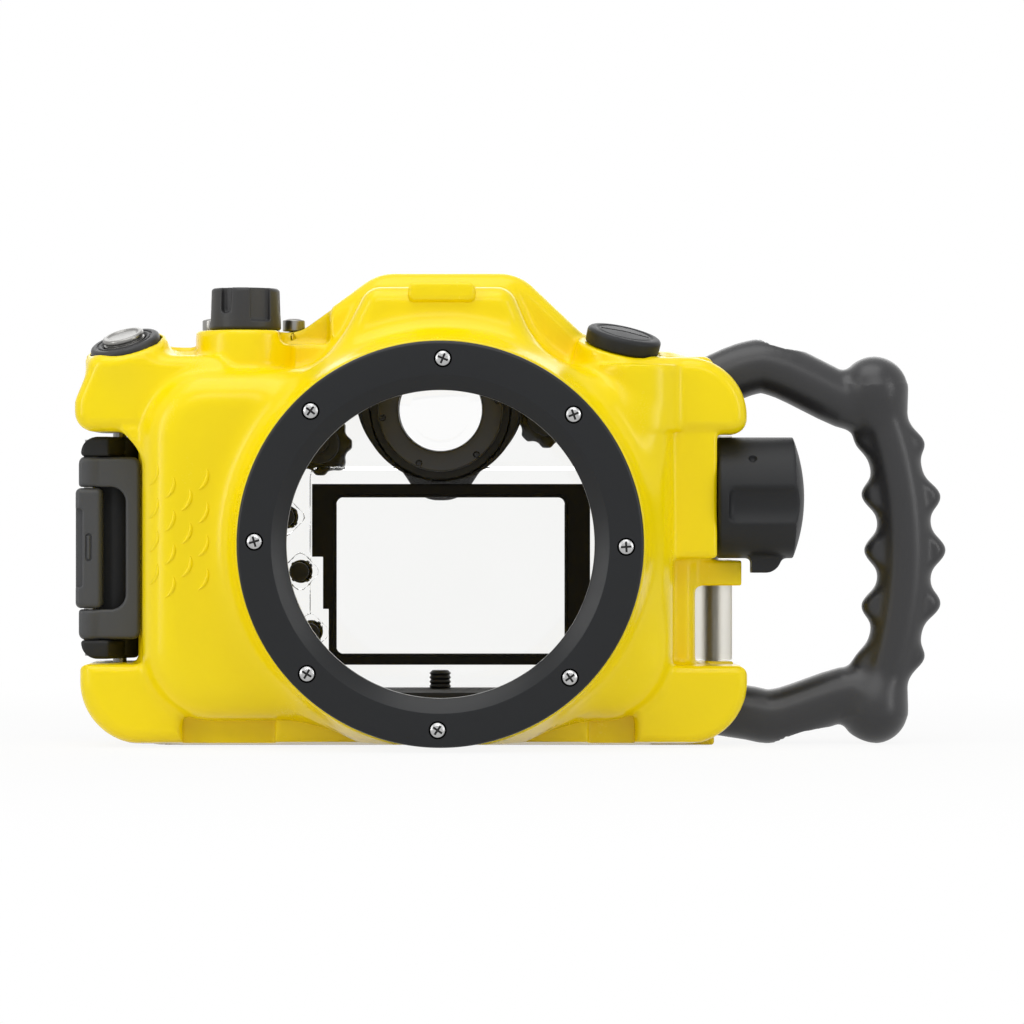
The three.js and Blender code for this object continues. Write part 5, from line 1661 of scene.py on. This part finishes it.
def flute(turn: float, reach: float, half: float, ends: Spot, corner: float) -> Solid:
    """An upright flute with a rounded foot, cut into the mode knob's rim.

    Args:
        turn: its direction about the knob's axis.
        reach: how far its middle lies from that axis.
        half: half its width.
        ends: where its foot starts and where it ends.
        corner: rounding of its foot's corners.
    """
    deep = 3.2
    out = (math.cos(turn), math.sin(turn))
    start = (MODE_AXIS[0] + reach * out[0], MODE_AXIS[1] + reach * out[1])

    def distance(x: Array, y: Array, z: Array) -> Array:
        """The flute's distance."""
        side = (y - start[1]) * out[0] - (x - start[0]) * out[1]
        inward = (x - start[0]) * out[0] + (y - start[1]) * out[1]
        wall = meet(np.abs(side) - half, slab_distance(z, *ends), corner)
        return meet(wall, np.abs(inward) - deep, 0.7)

    return Solid(distance)


@dataclass(frozen=True)
class DeckButtons:
    """The two sprung push buttons on the deck.

    Args:
        top: height of their caps.
        spring_foot: where their springs start.
    """

    top: float = 123.5
    spring_foot: float = 116.6

    def build(self, finishes: Finishes) -> list[Object]:
        """Makes both buttons with their springs."""
        made = []
        top = self.top
        for side, x in zip(("left", "right"), BUTTON_XS):
            button = lathe(f"deck_button_{side}", [
                (0.0, 105.8, 0.0), (2.4, 105.8, 0.2), (2.4, 107.2, 0.2), (1.4, 107.2, 0.0),
                (1.4, top - 1.7, 0.1), (2.65, top - 1.7, 0.1), (2.65, top - 3.6, 0.1),
                (3.25, top - 3.6, 0.2), (3.25, top - 0.5, 0.4), (2.2, top, 0.8),
                (0.0, top, 0.0)], 48, at(x, BUTTON_Y))
            spring = coil(f"deck_coil_{side}", 2.1, 0.3, self.spring_foot, 121.5, 4.5,
                          at(x, BUTTON_Y), finishes.screw)
            dress(button, finishes.steel)
            seat(button, f"top_push_{side}", "steel", f"top_button_{side}")
            seat(spring, "housing", "steel", f"top_spring_{side}")
            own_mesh(spring)
            made += [button, spring]
        return made


@dataclass(frozen=True)
class AccessoryPlug:
    """The screw plug over the accessory port, with its seal.

    Args:
        head: radius of the head.
        half: half the head's height.
        thread: radius over its thread.
        foot: where its thread ends.
    """

    head: float = 10.8
    half: float = 2.45
    thread: float = 7.0
    foot: float = -9.0

    def build(self, finishes: Finishes) -> list[Object]:
        """Makes the plug."""
        half, head = self.half, self.head
        turns = [(self.thread if k % 2 else self.thread - 0.7, self.foot + 0.5 * k, 0.0)
                 for k in range(14)]
        body = lathe("plug_body", [
            (0.0, self.foot, 0.0), *turns, (self.thread, 0.3 - half, 0.0),
            (head - 0.1, 0.3 - half, 0.5), (head, half - 0.2, 1.3), (head - 2.2, half, 0.8),
            (head - 2.9, half - 0.45, 0.3), (head - 3.6, half - 0.1, 0.4),
            (0.0, half + 0.25, 0.0)], 160, at(0.0, 0.0), 6)
        carve_mesh(body, [box_mesh("slot_tool", (-7.0, -0.6, half - 1.6), (7.0, 0.6, half + 4.0))])
        finish_mesh(body)
        put(body, PLUG_PLACE.place)
        dress(body, finishes.latch_dark)
        recolour(["plug_seal"], finishes.rubber)
        return [seat(body, "accessory_plug", "knob_black", "port_plug")]


@dataclass(frozen=True)
class FocusDrive:
    """The focus knob on the right side with its shaft, gear and clip.

    Args:
        start: inner end of the knob.
        end: tip of its domed end.
        radius: radius of the knob.
        dome: radius of its domed end.
        pitch: mesh spacing.
    """

    start: float = 78.9
    end: float = 104.3
    radius: float = 17.45
    dome: float = 47.5
    pitch: float = 0.6

    def solid(self) -> Solid:
        """The knob: domed end, three broad grooves, thumb tab and pointer dot."""
        y, z = FOCUS_AXIS
        made = rod(Axis.X, FOCUS_AXIS, self.radius, self.start, self.end + 9.0, 1.2)
        made = made.within(ball((self.end - self.dome, y, z), self.dome), 0.4)
        out = self.radius + 4.6
        for k in range(3):
            turn = math.radians(-7.5 + 120.0 * k)
            place = (y - out * math.cos(turn), z + out * math.sin(turn))
            made = made.carve(rod(Axis.X, place, 7.5, self.start + 3.0, self.end + 8.0, 2.0), 0.7)
        tab = (panel((60.0, 97.6, z - 21.6, z - 4.0, 4.6), y - 4.5, y + 4.5, 1.0)
               & box((89.0, -60.0, 0.0), (120.0, 60.0, 200.0)))
        dot = ball((88.8, y - 13.4, z + 11.2), 1.15)
        made = made.blend(tab, 2.0).carve(dot, 0.25)
        return made - rod(Axis.X, FOCUS_AXIS, FOCUS_HOLE, self.start - 3.0, self.start + 14.0)

    def build(self, finishes: Finishes) -> list[Object]:
        """Makes the knob."""
        y, z = FOCUS_AXIS
        knob = skin("focus_knob_body", self.solid(), (self.start - 0.2, y - 17.8, z - 21.9),
                    (self.end + 0.4, y + 17.8, z + 17.8), self.pitch)
        recolour(["focus_shaft", "focus_clip"], finishes.steel)
        recolour(["focus_gear"], finishes.rubber)
        return [seat(dress(knob, finishes.latch_dark), "focus_drive", "knob_black", "focus_knob")]


# rear cover and what it carries

FINDER = (-1.3, 97.8)
REAR_BUTTONS = ((-43.6, 49.3), (-47.9, 65.7), (-40.5, 31.1))
DIALS = (("left", (-37.7, 87.7)), ("right", (30.5, 96.0)))
OPEN_FRONT = (False, True)


@dataclass(frozen=True)
class RearCover:
    """The clear rear cover with its knuckles, catch rib, hood and bosses.

    Args:
        front: where its rim starts.
        back: where its back lies.
        wall: thickness of its sides.
        back_wall: thickness of its back.
        inset: how far its sides lie inside the shell's outline.
        edge: rounding of its back edge.
        pitch: mesh spacing.
    """

    front: float = 0.6
    back: float = 26.0
    wall: float = 5.0
    back_wall: float = 4.0
    inset: float = 0.7
    edge: float = 4.0
    pitch: float = 1.15

    def tray(self) -> Solid:
        """The tray form with its seal groove and the shallow field round the screen."""
        shape = body_outline(1.8).inset(self.inset)
        whole = plate(Axis.Y, shape, self.front, self.back, self.edge, OPEN_FRONT)
        space = plate(Axis.Y, shape.inset(self.wall), -12.0, self.back - self.back_wall, 2.5,
                      OPEN_FRONT)
        groove = (plate(Axis.Y, shape.inset(1.3), -4.0, self.front + 2.0)
                  - plate(Axis.Y, shape.inset(3.7), -5.0, self.front + 3.0))
        field = panel((-40.6, 50.0, 10.5, 80.6, 3.0), self.back - 0.6, self.back + 9.0)
        return whole.carve(field, 0.5) - space - groove

    def fittings(self) -> Solid:
        """Hood, button bosses, hinge knuckles and catch rib."""
        made = [rod(Axis.Y, FINDER, 20.0, 22.0, 32.0, 1.2),
                box((-91.5, 3.0, 32.0), (-84.8, 7.7, 82.0), 0.6)]
        for x, z in REAR_BUTTONS:
            diamond = polygon([(x - 6.4, z), (x, z - 6.4), (x + 6.4, z), (x, z + 6.4)], 2.4)
            made.append(plate(Axis.Y, diamond, 22.0, self.back + 2.0, 0.7))
        for low, high in ((23.6, 45.6), (53.5, 89.6)):
            made.append(rod(Axis.Z, HINGE, HINGE_RADIUS, low, high, 0.6))
            made.append(box((69.0, self.front, low), (HINGE[0], 10.5, high), 0.6))
        return together(made)

    def holes(self) -> Solid:
        """Bore of the finder, holes of the hinge pin, dials and buttons."""
        bores = [(FINDER, 13.6), *((place, 2.8) for _, place in DIALS),
                 *((place, 1.7) for place in REAR_BUTTONS)]
        return together([rod(Axis.Z, HINGE, PIN_HOLE, 10.0, 110.0),
                         *(rod(Axis.Y, place, radius, 10.0, 40.0) for place, radius in bores)])

    def build(self, finishes: Finishes) -> list[Object]:
        """Makes the cover and dresses its seal and the hinge pin."""
        inside = plate(Axis.Y, body_outline(1.8).inset(self.inset + self.wall), -12.0, 22.0)
        solid = (self.tray() | (self.fittings() - inside)) - self.holes()
        made = skin("cover_moulding", solid, (-92.0, 0.0, 0.5), (86.0, 32.5, 137.0), self.pitch)
        dress(made, finishes.clear)
        recolour(["cover_seal"], finishes.rubber)
        recolour(["hinge_pin"], finishes.steel)
        return [seat(made, "cover", "clear_cover", "rear_cover")]


@dataclass(frozen=True)
class Viewfinder:
    """Viewfinder bezel, window, retainer with its screws, eyecup and the screen's mask.

    Args:
        flange: radius of the bezel's flange.
        flange_z: height of the flange's middle.
        flat: height of the flange's flat foot.
        front: where the bezel's rim starts.
        back: where its flange ends.
        mask_front: where the screen's mask starts.
        pitch: mesh spacing.
    """

    flange: float = 25.4
    flange_z: float = 102.6
    flat: float = 80.7
    front: float = 14.6
    back: float = 21.7
    mask_front: float = 19.7
    pitch: float = 0.7

    def bezel(self) -> Solid:
        """The rim and its flange with a flat foot."""
        x, z = FINDER
        flange = rod(Axis.Y, (x, self.flange_z), self.flange, 16.6, self.back, 0.5)
        flange = flange & box((-60.0, 10.0, self.flat), (60.0, 30.0, 140.0))
        rim = rod(Axis.Y, (x, z + 2.4), 24.0, self.front, 18.0, 0.7)
        pocket = rod(Axis.Y, FINDER, 16.7, 10.0, 17.9) | rod(Axis.Y, FINDER, 12.4, 10.0, 30.0)
        step = rod(Axis.Y, FINDER, 21.2, 10.0, 15.2) - rod(Axis.Y, FINDER, 20.6, 9.0, 16.0)
        return (flange | rim) - pocket - step

    def retainer(self, finishes: Finishes) -> list[Object]:
        """The ring that holds the window, with six small screws."""
        rim = lathe("finder_retainer", [
            (12.5, 12.1, 0.6), (18.6, 12.1, 0.6), (18.6, 14.3, 0.2), (12.5, 14.3, 0.2)], 128,
            along_y(*FINDER))
        screw = lathe("finder_screws", [
            (0.0, 11.6, 0.0), (0.75, 11.62, 0.25), (1.05, 12.0, 0.2), (1.05, 12.6, 0.1),
            (0.0, 12.6, 0.0)], 24, along_y(0.0, 0.0))
        carve_mesh(screw, [box_mesh("blade", (-0.7, 11.0, -0.13), (0.7, 11.9, 0.13))])
        finish_mesh(screw, gap=1e-7)
        screws = copies_round(screw, 6, 17.3, (FINDER[0], 0.0, FINDER[1]), 8.6, finishes.screw)
        seat(dress(rim, finishes.handle), "cover", "knob_black", "viewfinder_retainer")
        return [rim, seat(screws, "cover", "steel")]

    @staticmethod
    def window(finishes: Finishes) -> Object:
        """The domed eyepiece glass."""
        made = lathe("finder_glass_disc", [
            (0.0, 15.5, 0.0), (9.0, 15.2, 6.0), (15.9, 14.6, 0.4), (16.4, 14.9, 0.2),
            (16.4, 17.6, 0.3), (0.0, 17.6, 0.0)], 96, along_y(*FINDER), 6)
        return seat(dress(made, finishes.glass), "cover", "finder_glass", "viewfinder_window")

    @staticmethod
    def eyecup() -> Solid:
        """The oval rubber rim round the hood, dished towards the eye."""
        x = FINDER[0]
        shape = rectangle(x - 21.4, x + 21.4, 76.4, 121.0, 21.3).blend(
            rectangle(x - 10.0, x + 10.0, 70.7, 90.0, 9.0), 4.0)
        dish = plate(Axis.Y, shape.inset(0.9), 29.3, 34.0, 0.5)
        return plate(Axis.Y, shape, 26.3, 30.5, 1.4).carve(dish, 0.8) - rod(
            Axis.Y, FINDER, 20.3, 20.0, 40.0)

    def mask(self) -> Solid:
        """The black frame behind which the screen shows."""
        front, back = self.mask_front, self.back
        made = panel((-34.8, 43.4, 21.5, 75.6, 0.8), front, back, 0.3)
        made |= box((-39.8, front, 53.8), (-30.0, back, 75.6), 0.3)
        made |= box((-36.5, front, 38.2), (-30.0, back, 60.0), 0.3)
        glass = panel((-32.6, 35.9, 24.7, 71.7, 2.5), 10.0, 30.0)
        return made.carve(glass, 0.3) - panel((-33.4, 36.7, 23.9, 72.5, 3.0), 10.0, front + 0.5)

    def build(self, finishes: Finishes) -> list[Object]:
        """Makes all parts of the eyepiece and the mask."""
        bezel = dress(skin("finder_bezel", self.bezel(), (-27.5, 14.0, 74.0), (25.0, 22.0, 129.0),
                           self.pitch), finishes.latch_dark)
        cup = dress(skin("finder_eyecup", self.eyecup(), (-23.0, 26.0, 70.0), (20.5, 31.0, 122.0),
                         self.pitch), finishes.rubber)
        mask = dress(skin("screen_mask", self.mask(), (-40.2, 19.2, 21.0), (44.0, 22.2, 76.0),
                          self.pitch), finishes.inner)
        return [seat(bezel, "cover", "knob_black", "viewfinder_bezel"),
                seat(cup, "cover", "rubber_black", "viewfinder_eyecup"),
                seat(mask, "cover", "knob_black", "lcd_mask"),
                self.window(finishes), *self.retainer(finishes)]


@dataclass(frozen=True)
class RearControls:
    """Dials and sprung push buttons on the cover.

    Args:
        dial: radius of a dial's knob.
        lobes: number of its hollows.
        dial_start: where a knob starts behind the cover.
        dial_end: where it ends.
        inner: inside of the cover's back.
        cap_end: back end of a push button.
        spring_foot: where the buttons' springs start.
        pitch: mesh spacing.
    """

    dial: float = 9.5
    lobes: int = 8
    dial_start: float = 26.3
    dial_end: float = 33.3
    inner: float = 21.7
    cap_end: float = 32.0
    spring_foot: float = 28.3
    pitch: float = 0.6

    def knob(self, place: Spot) -> Solid:
        """One lobed dial with its shaft and the wheel inside."""
        made = rod(Axis.Y, place, self.dial, self.dial_start, self.dial_end, 0.9)
        far = self.dial + 1.5
        for k in range(self.lobes):
            angle = 2 * math.pi * (k + 0.5) / self.lobes
            hollow = (place[0] + far * math.cos(angle), place[1] + far * math.sin(angle))
            made = made.carve(rod(Axis.Y, hollow, 2.7, 20.0, 40.0), 0.9)
        made = made.carve(rod(Axis.Y, place, self.dial - 3.4, self.dial_end - 0.6, 40.0), 0.4)
        shaft = rod(Axis.Y, place, 2.5, self.inner - 1.5, self.dial_start + 3.0)
        wheel = rod(Axis.Y, place, 6.0, self.inner - 3.0, self.inner, 0.4)
        hub = rod(Axis.Y, place, 3.0, self.inner - 3.5, self.inner - 1.0, 0.3)
        return made | shaft | wheel | hub

    def button(self, number: int, place: Spot, finishes: Finishes) -> list[Object]:
        """One push button and its spring."""
        end, inner = self.cap_end, self.inner
        cap = lathe(f"rear_cap_{number}", [
            (0.0, inner - 1.5, 0.0), (2.8, inner - 1.5, 0.3), (2.8, inner, 0.2),
            (1.4, inner, 0.0), (1.4, end - 0.9, 0.1), (2.7, end - 0.9, 0.1),
            (2.7, end - 1.8, 0.1), (3.5, end - 1.8, 0.3), (3.5, end, 0.6), (2.6, end, 0.2),
            (2.2, end - 0.35, 0.3), (0.0, end - 0.4, 0.0)], 56, along_y(*place))
        spring = coil(f"rear_coil_{number}", 2.05, 0.24, self.spring_foot, 31.0, 3.0,
                      along_y(*place), finishes.screw)
        dress(cap, finishes.latch_dark)
        seat(cap, f"rear_push_{number}", "knob_black", f"rear_button_{number}")
        seat(spring, "cover", "steel", f"rear_spring_{number}")
        x, z = place
        x * METRES
        z * METRES
        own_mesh(spring)
        return [cap, spring]

    def build(self, finishes: Finishes) -> list[Object]:
        """Makes both dials and the three push buttons."""
        made = []
        for side, (x, z) in DIALS:
            knob = skin(f"rear_dial_{side}_knob", self.knob((x, z)),
                        (x - 9.8, self.inner - 3.8, z - 9.8),
                        (x + 9.8, self.dial_end + 0.2, z + 9.8), self.pitch)
            made.append(seat(dress(knob, finishes.latch_dark), f"rear_dial_{side}", "knob_black",
                             f"dial_{side}"))
        for number, place in enumerate(REAR_BUTTONS, 1):
            made += self.button(number, place, finishes)
        return made


@dataclass(frozen=True)
class Inside:
    """Camera tray, camera screw and leak sensor.

    Args:
        tray: left, right, front and rear of the tray.
        bottom: underside of the tray.
        top: upper side of the tray.
        screw: place of the camera screw.
        pitch: mesh spacing.
    """

    tray: tuple[float, float, float, float] = (-40.0, 38.0, -36.0, -1.0)
    bottom: float = 12.5
    top: float = 15.7
    screw: Spot = (-1.0, -5.0)
    pitch: float = 0.8

    def plate_solid(self) -> Solid:
        """The tray: a plate with grip grooves and the screw's hole."""
        left, right, front, _ = self.tray
        made = plate(Axis.Z, rectangle(*self.tray, 3.0), self.bottom, self.top, 0.6)
        for k in range(7):
            y = front + 5.0 + 3.6 * k
            made = made.carve(box((left + 6.0, y - 0.5, self.top - 0.5),
                                  (right - 6.0, y + 0.5, self.top + 3.0)), 0.4)
        return made - rod(Axis.Z, self.screw, 3.5, 0.0, 40.0)

    def camera_screw(self, finishes: Finishes) -> Object:
        """The black quarter-inch screw with its thread, head and slot."""
        thread, root, half_turn = 3.175, 2.72, 0.635
        threads = [(thread if k % 2 else root, 15.6 + half_turn * k, 0.0) for k in range(8)]
        made = lathe("tray_screw_body", [
            (0.0, 9.6, 0.0), (7.5, 9.6, 0.5), (7.5, 12.2, 0.4), (2.9, 12.2, 0.2), *threads,
            (2.3, 20.9, 0.2), (0.0, 20.9, 0.0)], 72, at(*self.screw), 3)
        x, y = self.screw
        carve_mesh(made, [box_mesh("slot_tool", (x - 9.0, y - 0.8, 8.0), (x + 9.0, y + 0.8, 10.9))])
        finish_mesh(made)
        return seat(dress(made, finishes.latch_dark), "mount_screw", "steel", "camera_screw")

    @staticmethod
    def sensor(finishes: Finishes) -> Object:
        """The leak sensor: a small housing with two contact pins' slots."""
        made = box((45.0, -14.0, 6.3), (59.0, -6.0, 9.3), 0.7)
        for x in (49.0, 55.0):
            made = made.carve(box((x - 1.2, -16.0, 8.6), (x + 1.2, -4.0, 12.0)), 0.3)
        skinned = skin("leak_sensor_case", made, (44.5, -14.5, 6.0), (59.5, -5.5, 9.6), 0.45)
        return seat(dress(skinned, finishes.latch_dark), "housing", "knob_black", "leak_sensor")

    def build(self, finishes: Finishes) -> list[Object]:
        """Makes the inner parts."""
        left, right, front, rear = self.tray
        tray = skin("tray_plate", self.plate_solid(), (left - 0.5, front - 0.5, self.bottom - 0.5),
                    (right + 0.5, rear + 0.5, self.top + 0.5), self.pitch)
        seat(dress(tray, finishes.inner), "housing", "knob_black", "camera_tray")
        return [tray, self.camera_screw(finishes), self.sensor(finishes)]


# stage


@dataclass(frozen=True)
class Lamp:
    """A soft rectangular lamp that looks at the middle of the object.

    Args:
        name: the lamp's name.
        place: its place in metres.
        size: its width and height in metres.
        watts: its strength.
    """

    name: str
    place: Point
    size: Spot
    watts: float

    def build(self) -> None:
        """Makes the lamp."""
        made = bpy.data.lights.new(self.name, "AREA")
        made.shape = "RECTANGLE"
        made.size, made.size_y = self.size
        made.energy = self.watts
        body = bpy.data.objects.new(self.name, made)
        body.location = self.place
        way = Vector((0.0, 0.0, 0.07)) - Vector(self.place)
        body.rotation_euler = way.to_track_quat("-Z", "Y").to_euler()
        bpy.context.scene.collection.objects.link(body)


@dataclass(frozen=True)
class Studio:
    """Camera, lamps, floor and world of the picture.

    Args:
        eye: the camera's place in metres.
        lens: focal length on a 36 mm sensor.
        ambient: strength of the even light round the object.
        floor_half: half the floor's width in millimetres.
        floor_top: the floor's height in millimetres.
        lamps: the lamps.
    """

    eye: Point = (0.02003, -1.2, 0.0672)
    lens: float = 143.4
    ambient: float = 0.42
    floor_half: float = 9000.0
    floor_top: float = -0.05
    lamps: tuple[Lamp, ...] = (
        Lamp("top_lamp", (-0.1, -0.3, 1.1), (1.0, 0.8), 5.5),
        Lamp("front_lamp", (0.05, -1.05, 0.85), (1.1, 0.3), 2.6),
        Lamp("left_lamp", (-1.1, -0.7, 0.45), (0.4, 1.0), 2.4),
        Lamp("right_lamp", (1.1, -0.8, 0.4), (0.3, 1.0), 1.7),
        Lamp("left_strip", (-1.05, -0.55, 0.15), (0.08, 1.1), 1.6),
        Lamp("right_strip", (1.05, -0.6, 0.15), (0.08, 1.1), 1.6),
        Lamp("back_lamp", (0.1, 1.2, 0.6), (1.2, 0.8), 4.0))

    def camera(self) -> None:
        """Makes the camera, level and looking along Y."""
        made = bpy.data.cameras.new("camera")
        made.lens = self.lens
        made.sensor_width = 36.0
        made.clip_end = 60.0
        body = bpy.data.objects.new("camera", made)
        body.location = self.eye
        body.rotation_euler = (math.pi / 2, 0.0, 0.0)
        bpy.context.scene.collection.objects.link(body)
        bpy.context.scene.camera = body

    @staticmethod
    def _white_to_eye(tree: bpy.types.NodeTree, plain: bpy.types.Node, white: bpy.types.Node,
                      output: str, share: Socket | None = None) -> None:
        """Shows white to the camera and in gloss and glass, and plain to the rest."""
        path = add_node(tree, "ShaderNodeLightPath").outputs
        total = path["Is Camera Ray"]
        for ray in ("Is Glossy Ray", "Is Transmission Ray"):
            total = add_node(tree, "ShaderNodeMath", {"operation": "MAXIMUM"},
                             {0: total, 1: path[ray]}).outputs[0]
        if share is not None:
            total = add_node(tree, "ShaderNodeMath", {"operation": "MULTIPLY"},
                             {0: total, 1: share}).outputs[0]
        blend = add_node(tree, "ShaderNodeMixShader", None, {
            0: total, 1: plain.outputs[0], 2: white.outputs[0]})
        add_node(tree, output, None, {"Surface": blend.outputs[0]})

    def world(self) -> None:
        """Makes the white surroundings."""
        made = bpy.data.worlds.new("surroundings")
        made.use_nodes = True
        tree = made.node_tree
        tree.nodes.clear()
        even = add_node(tree, "ShaderNodeBackground", None, {"Strength": self.ambient})
        white = add_node(tree, "ShaderNodeBackground", None, {
            "Color": (1.0, 1.0, 1.0), "Strength": 1.0})
        self._white_to_eye(tree, even, white, "ShaderNodeOutputWorld")
        bpy.context.scene.world = made

    def floor(self) -> None:
        """Makes the pale floor: it keeps a faint shadow near the object, white farther off."""
        half, top = self.floor_half, self.floor_top
        made = make_object("studio_floor", np.array(
            [(-half, -half, top), (half, -half, top), (half, half, top), (-half, half, top)]),
            [(0, 1, 2, 3)])
        finish = bpy.data.materials.new("pale_floor")
        finish.use_nodes = True
        tree = finish.node_tree
        tree.nodes.clear()
        matt = add_node(tree, "ShaderNodeBsdfDiffuse", None, {"Color": (0.86, 0.86, 0.86)})
        white = add_node(tree, "ShaderNodeEmission", None, {"Strength": 1.0})
        coords = add_node(tree, "ShaderNodeTexCoord")
        away = add_node(tree, "ShaderNodeVectorMath", {"operation": "LENGTH"},
                        {0: coords.outputs["Object"]})
        share = add_node(tree, "ShaderNodeMapRange", {"interpolation_type": "SMOOTHSTEP"}, {
            "Value": away.outputs["Value"], "From Min": 0.1, "From Max": 0.42, "To Min": 0.9,
            "To Max": 1.0})
        self._white_to_eye(tree, matt, white, "ShaderNodeOutputMaterial", share.outputs[0])
        made.data.materials.append(finish)

    def build(self) -> None:
        """Makes the whole stage."""
        self.camera()
        for lamp in self.lamps:
            lamp.build()
        self.world()
        self.floor()
        bpy.context.scene.view_settings.view_transform = "Standard"


def main() -> None:
    """Builds the studio, then every sub-assembly in order."""
    logging.basicConfig(level=logging.INFO, format="%(name)s: %(message)s")
    Studio().build()
    finishes = Finishes()
    for assembly in (FrontShell(), PortRing(), Handle(), Latch(), ShutterRelease(), ModeKnob(),
                     DeckButtons(), AccessoryPlug(), FocusDrive(), RearCover(), Viewfinder(),
                     RearControls(), Inside()):
        for made in assembly.build(finishes):
            LOG.info("%s: %d faces on %s", made.name, len(made.data.polygons),
                     made.get("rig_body"))


if __name__ == "__main__":
    main()
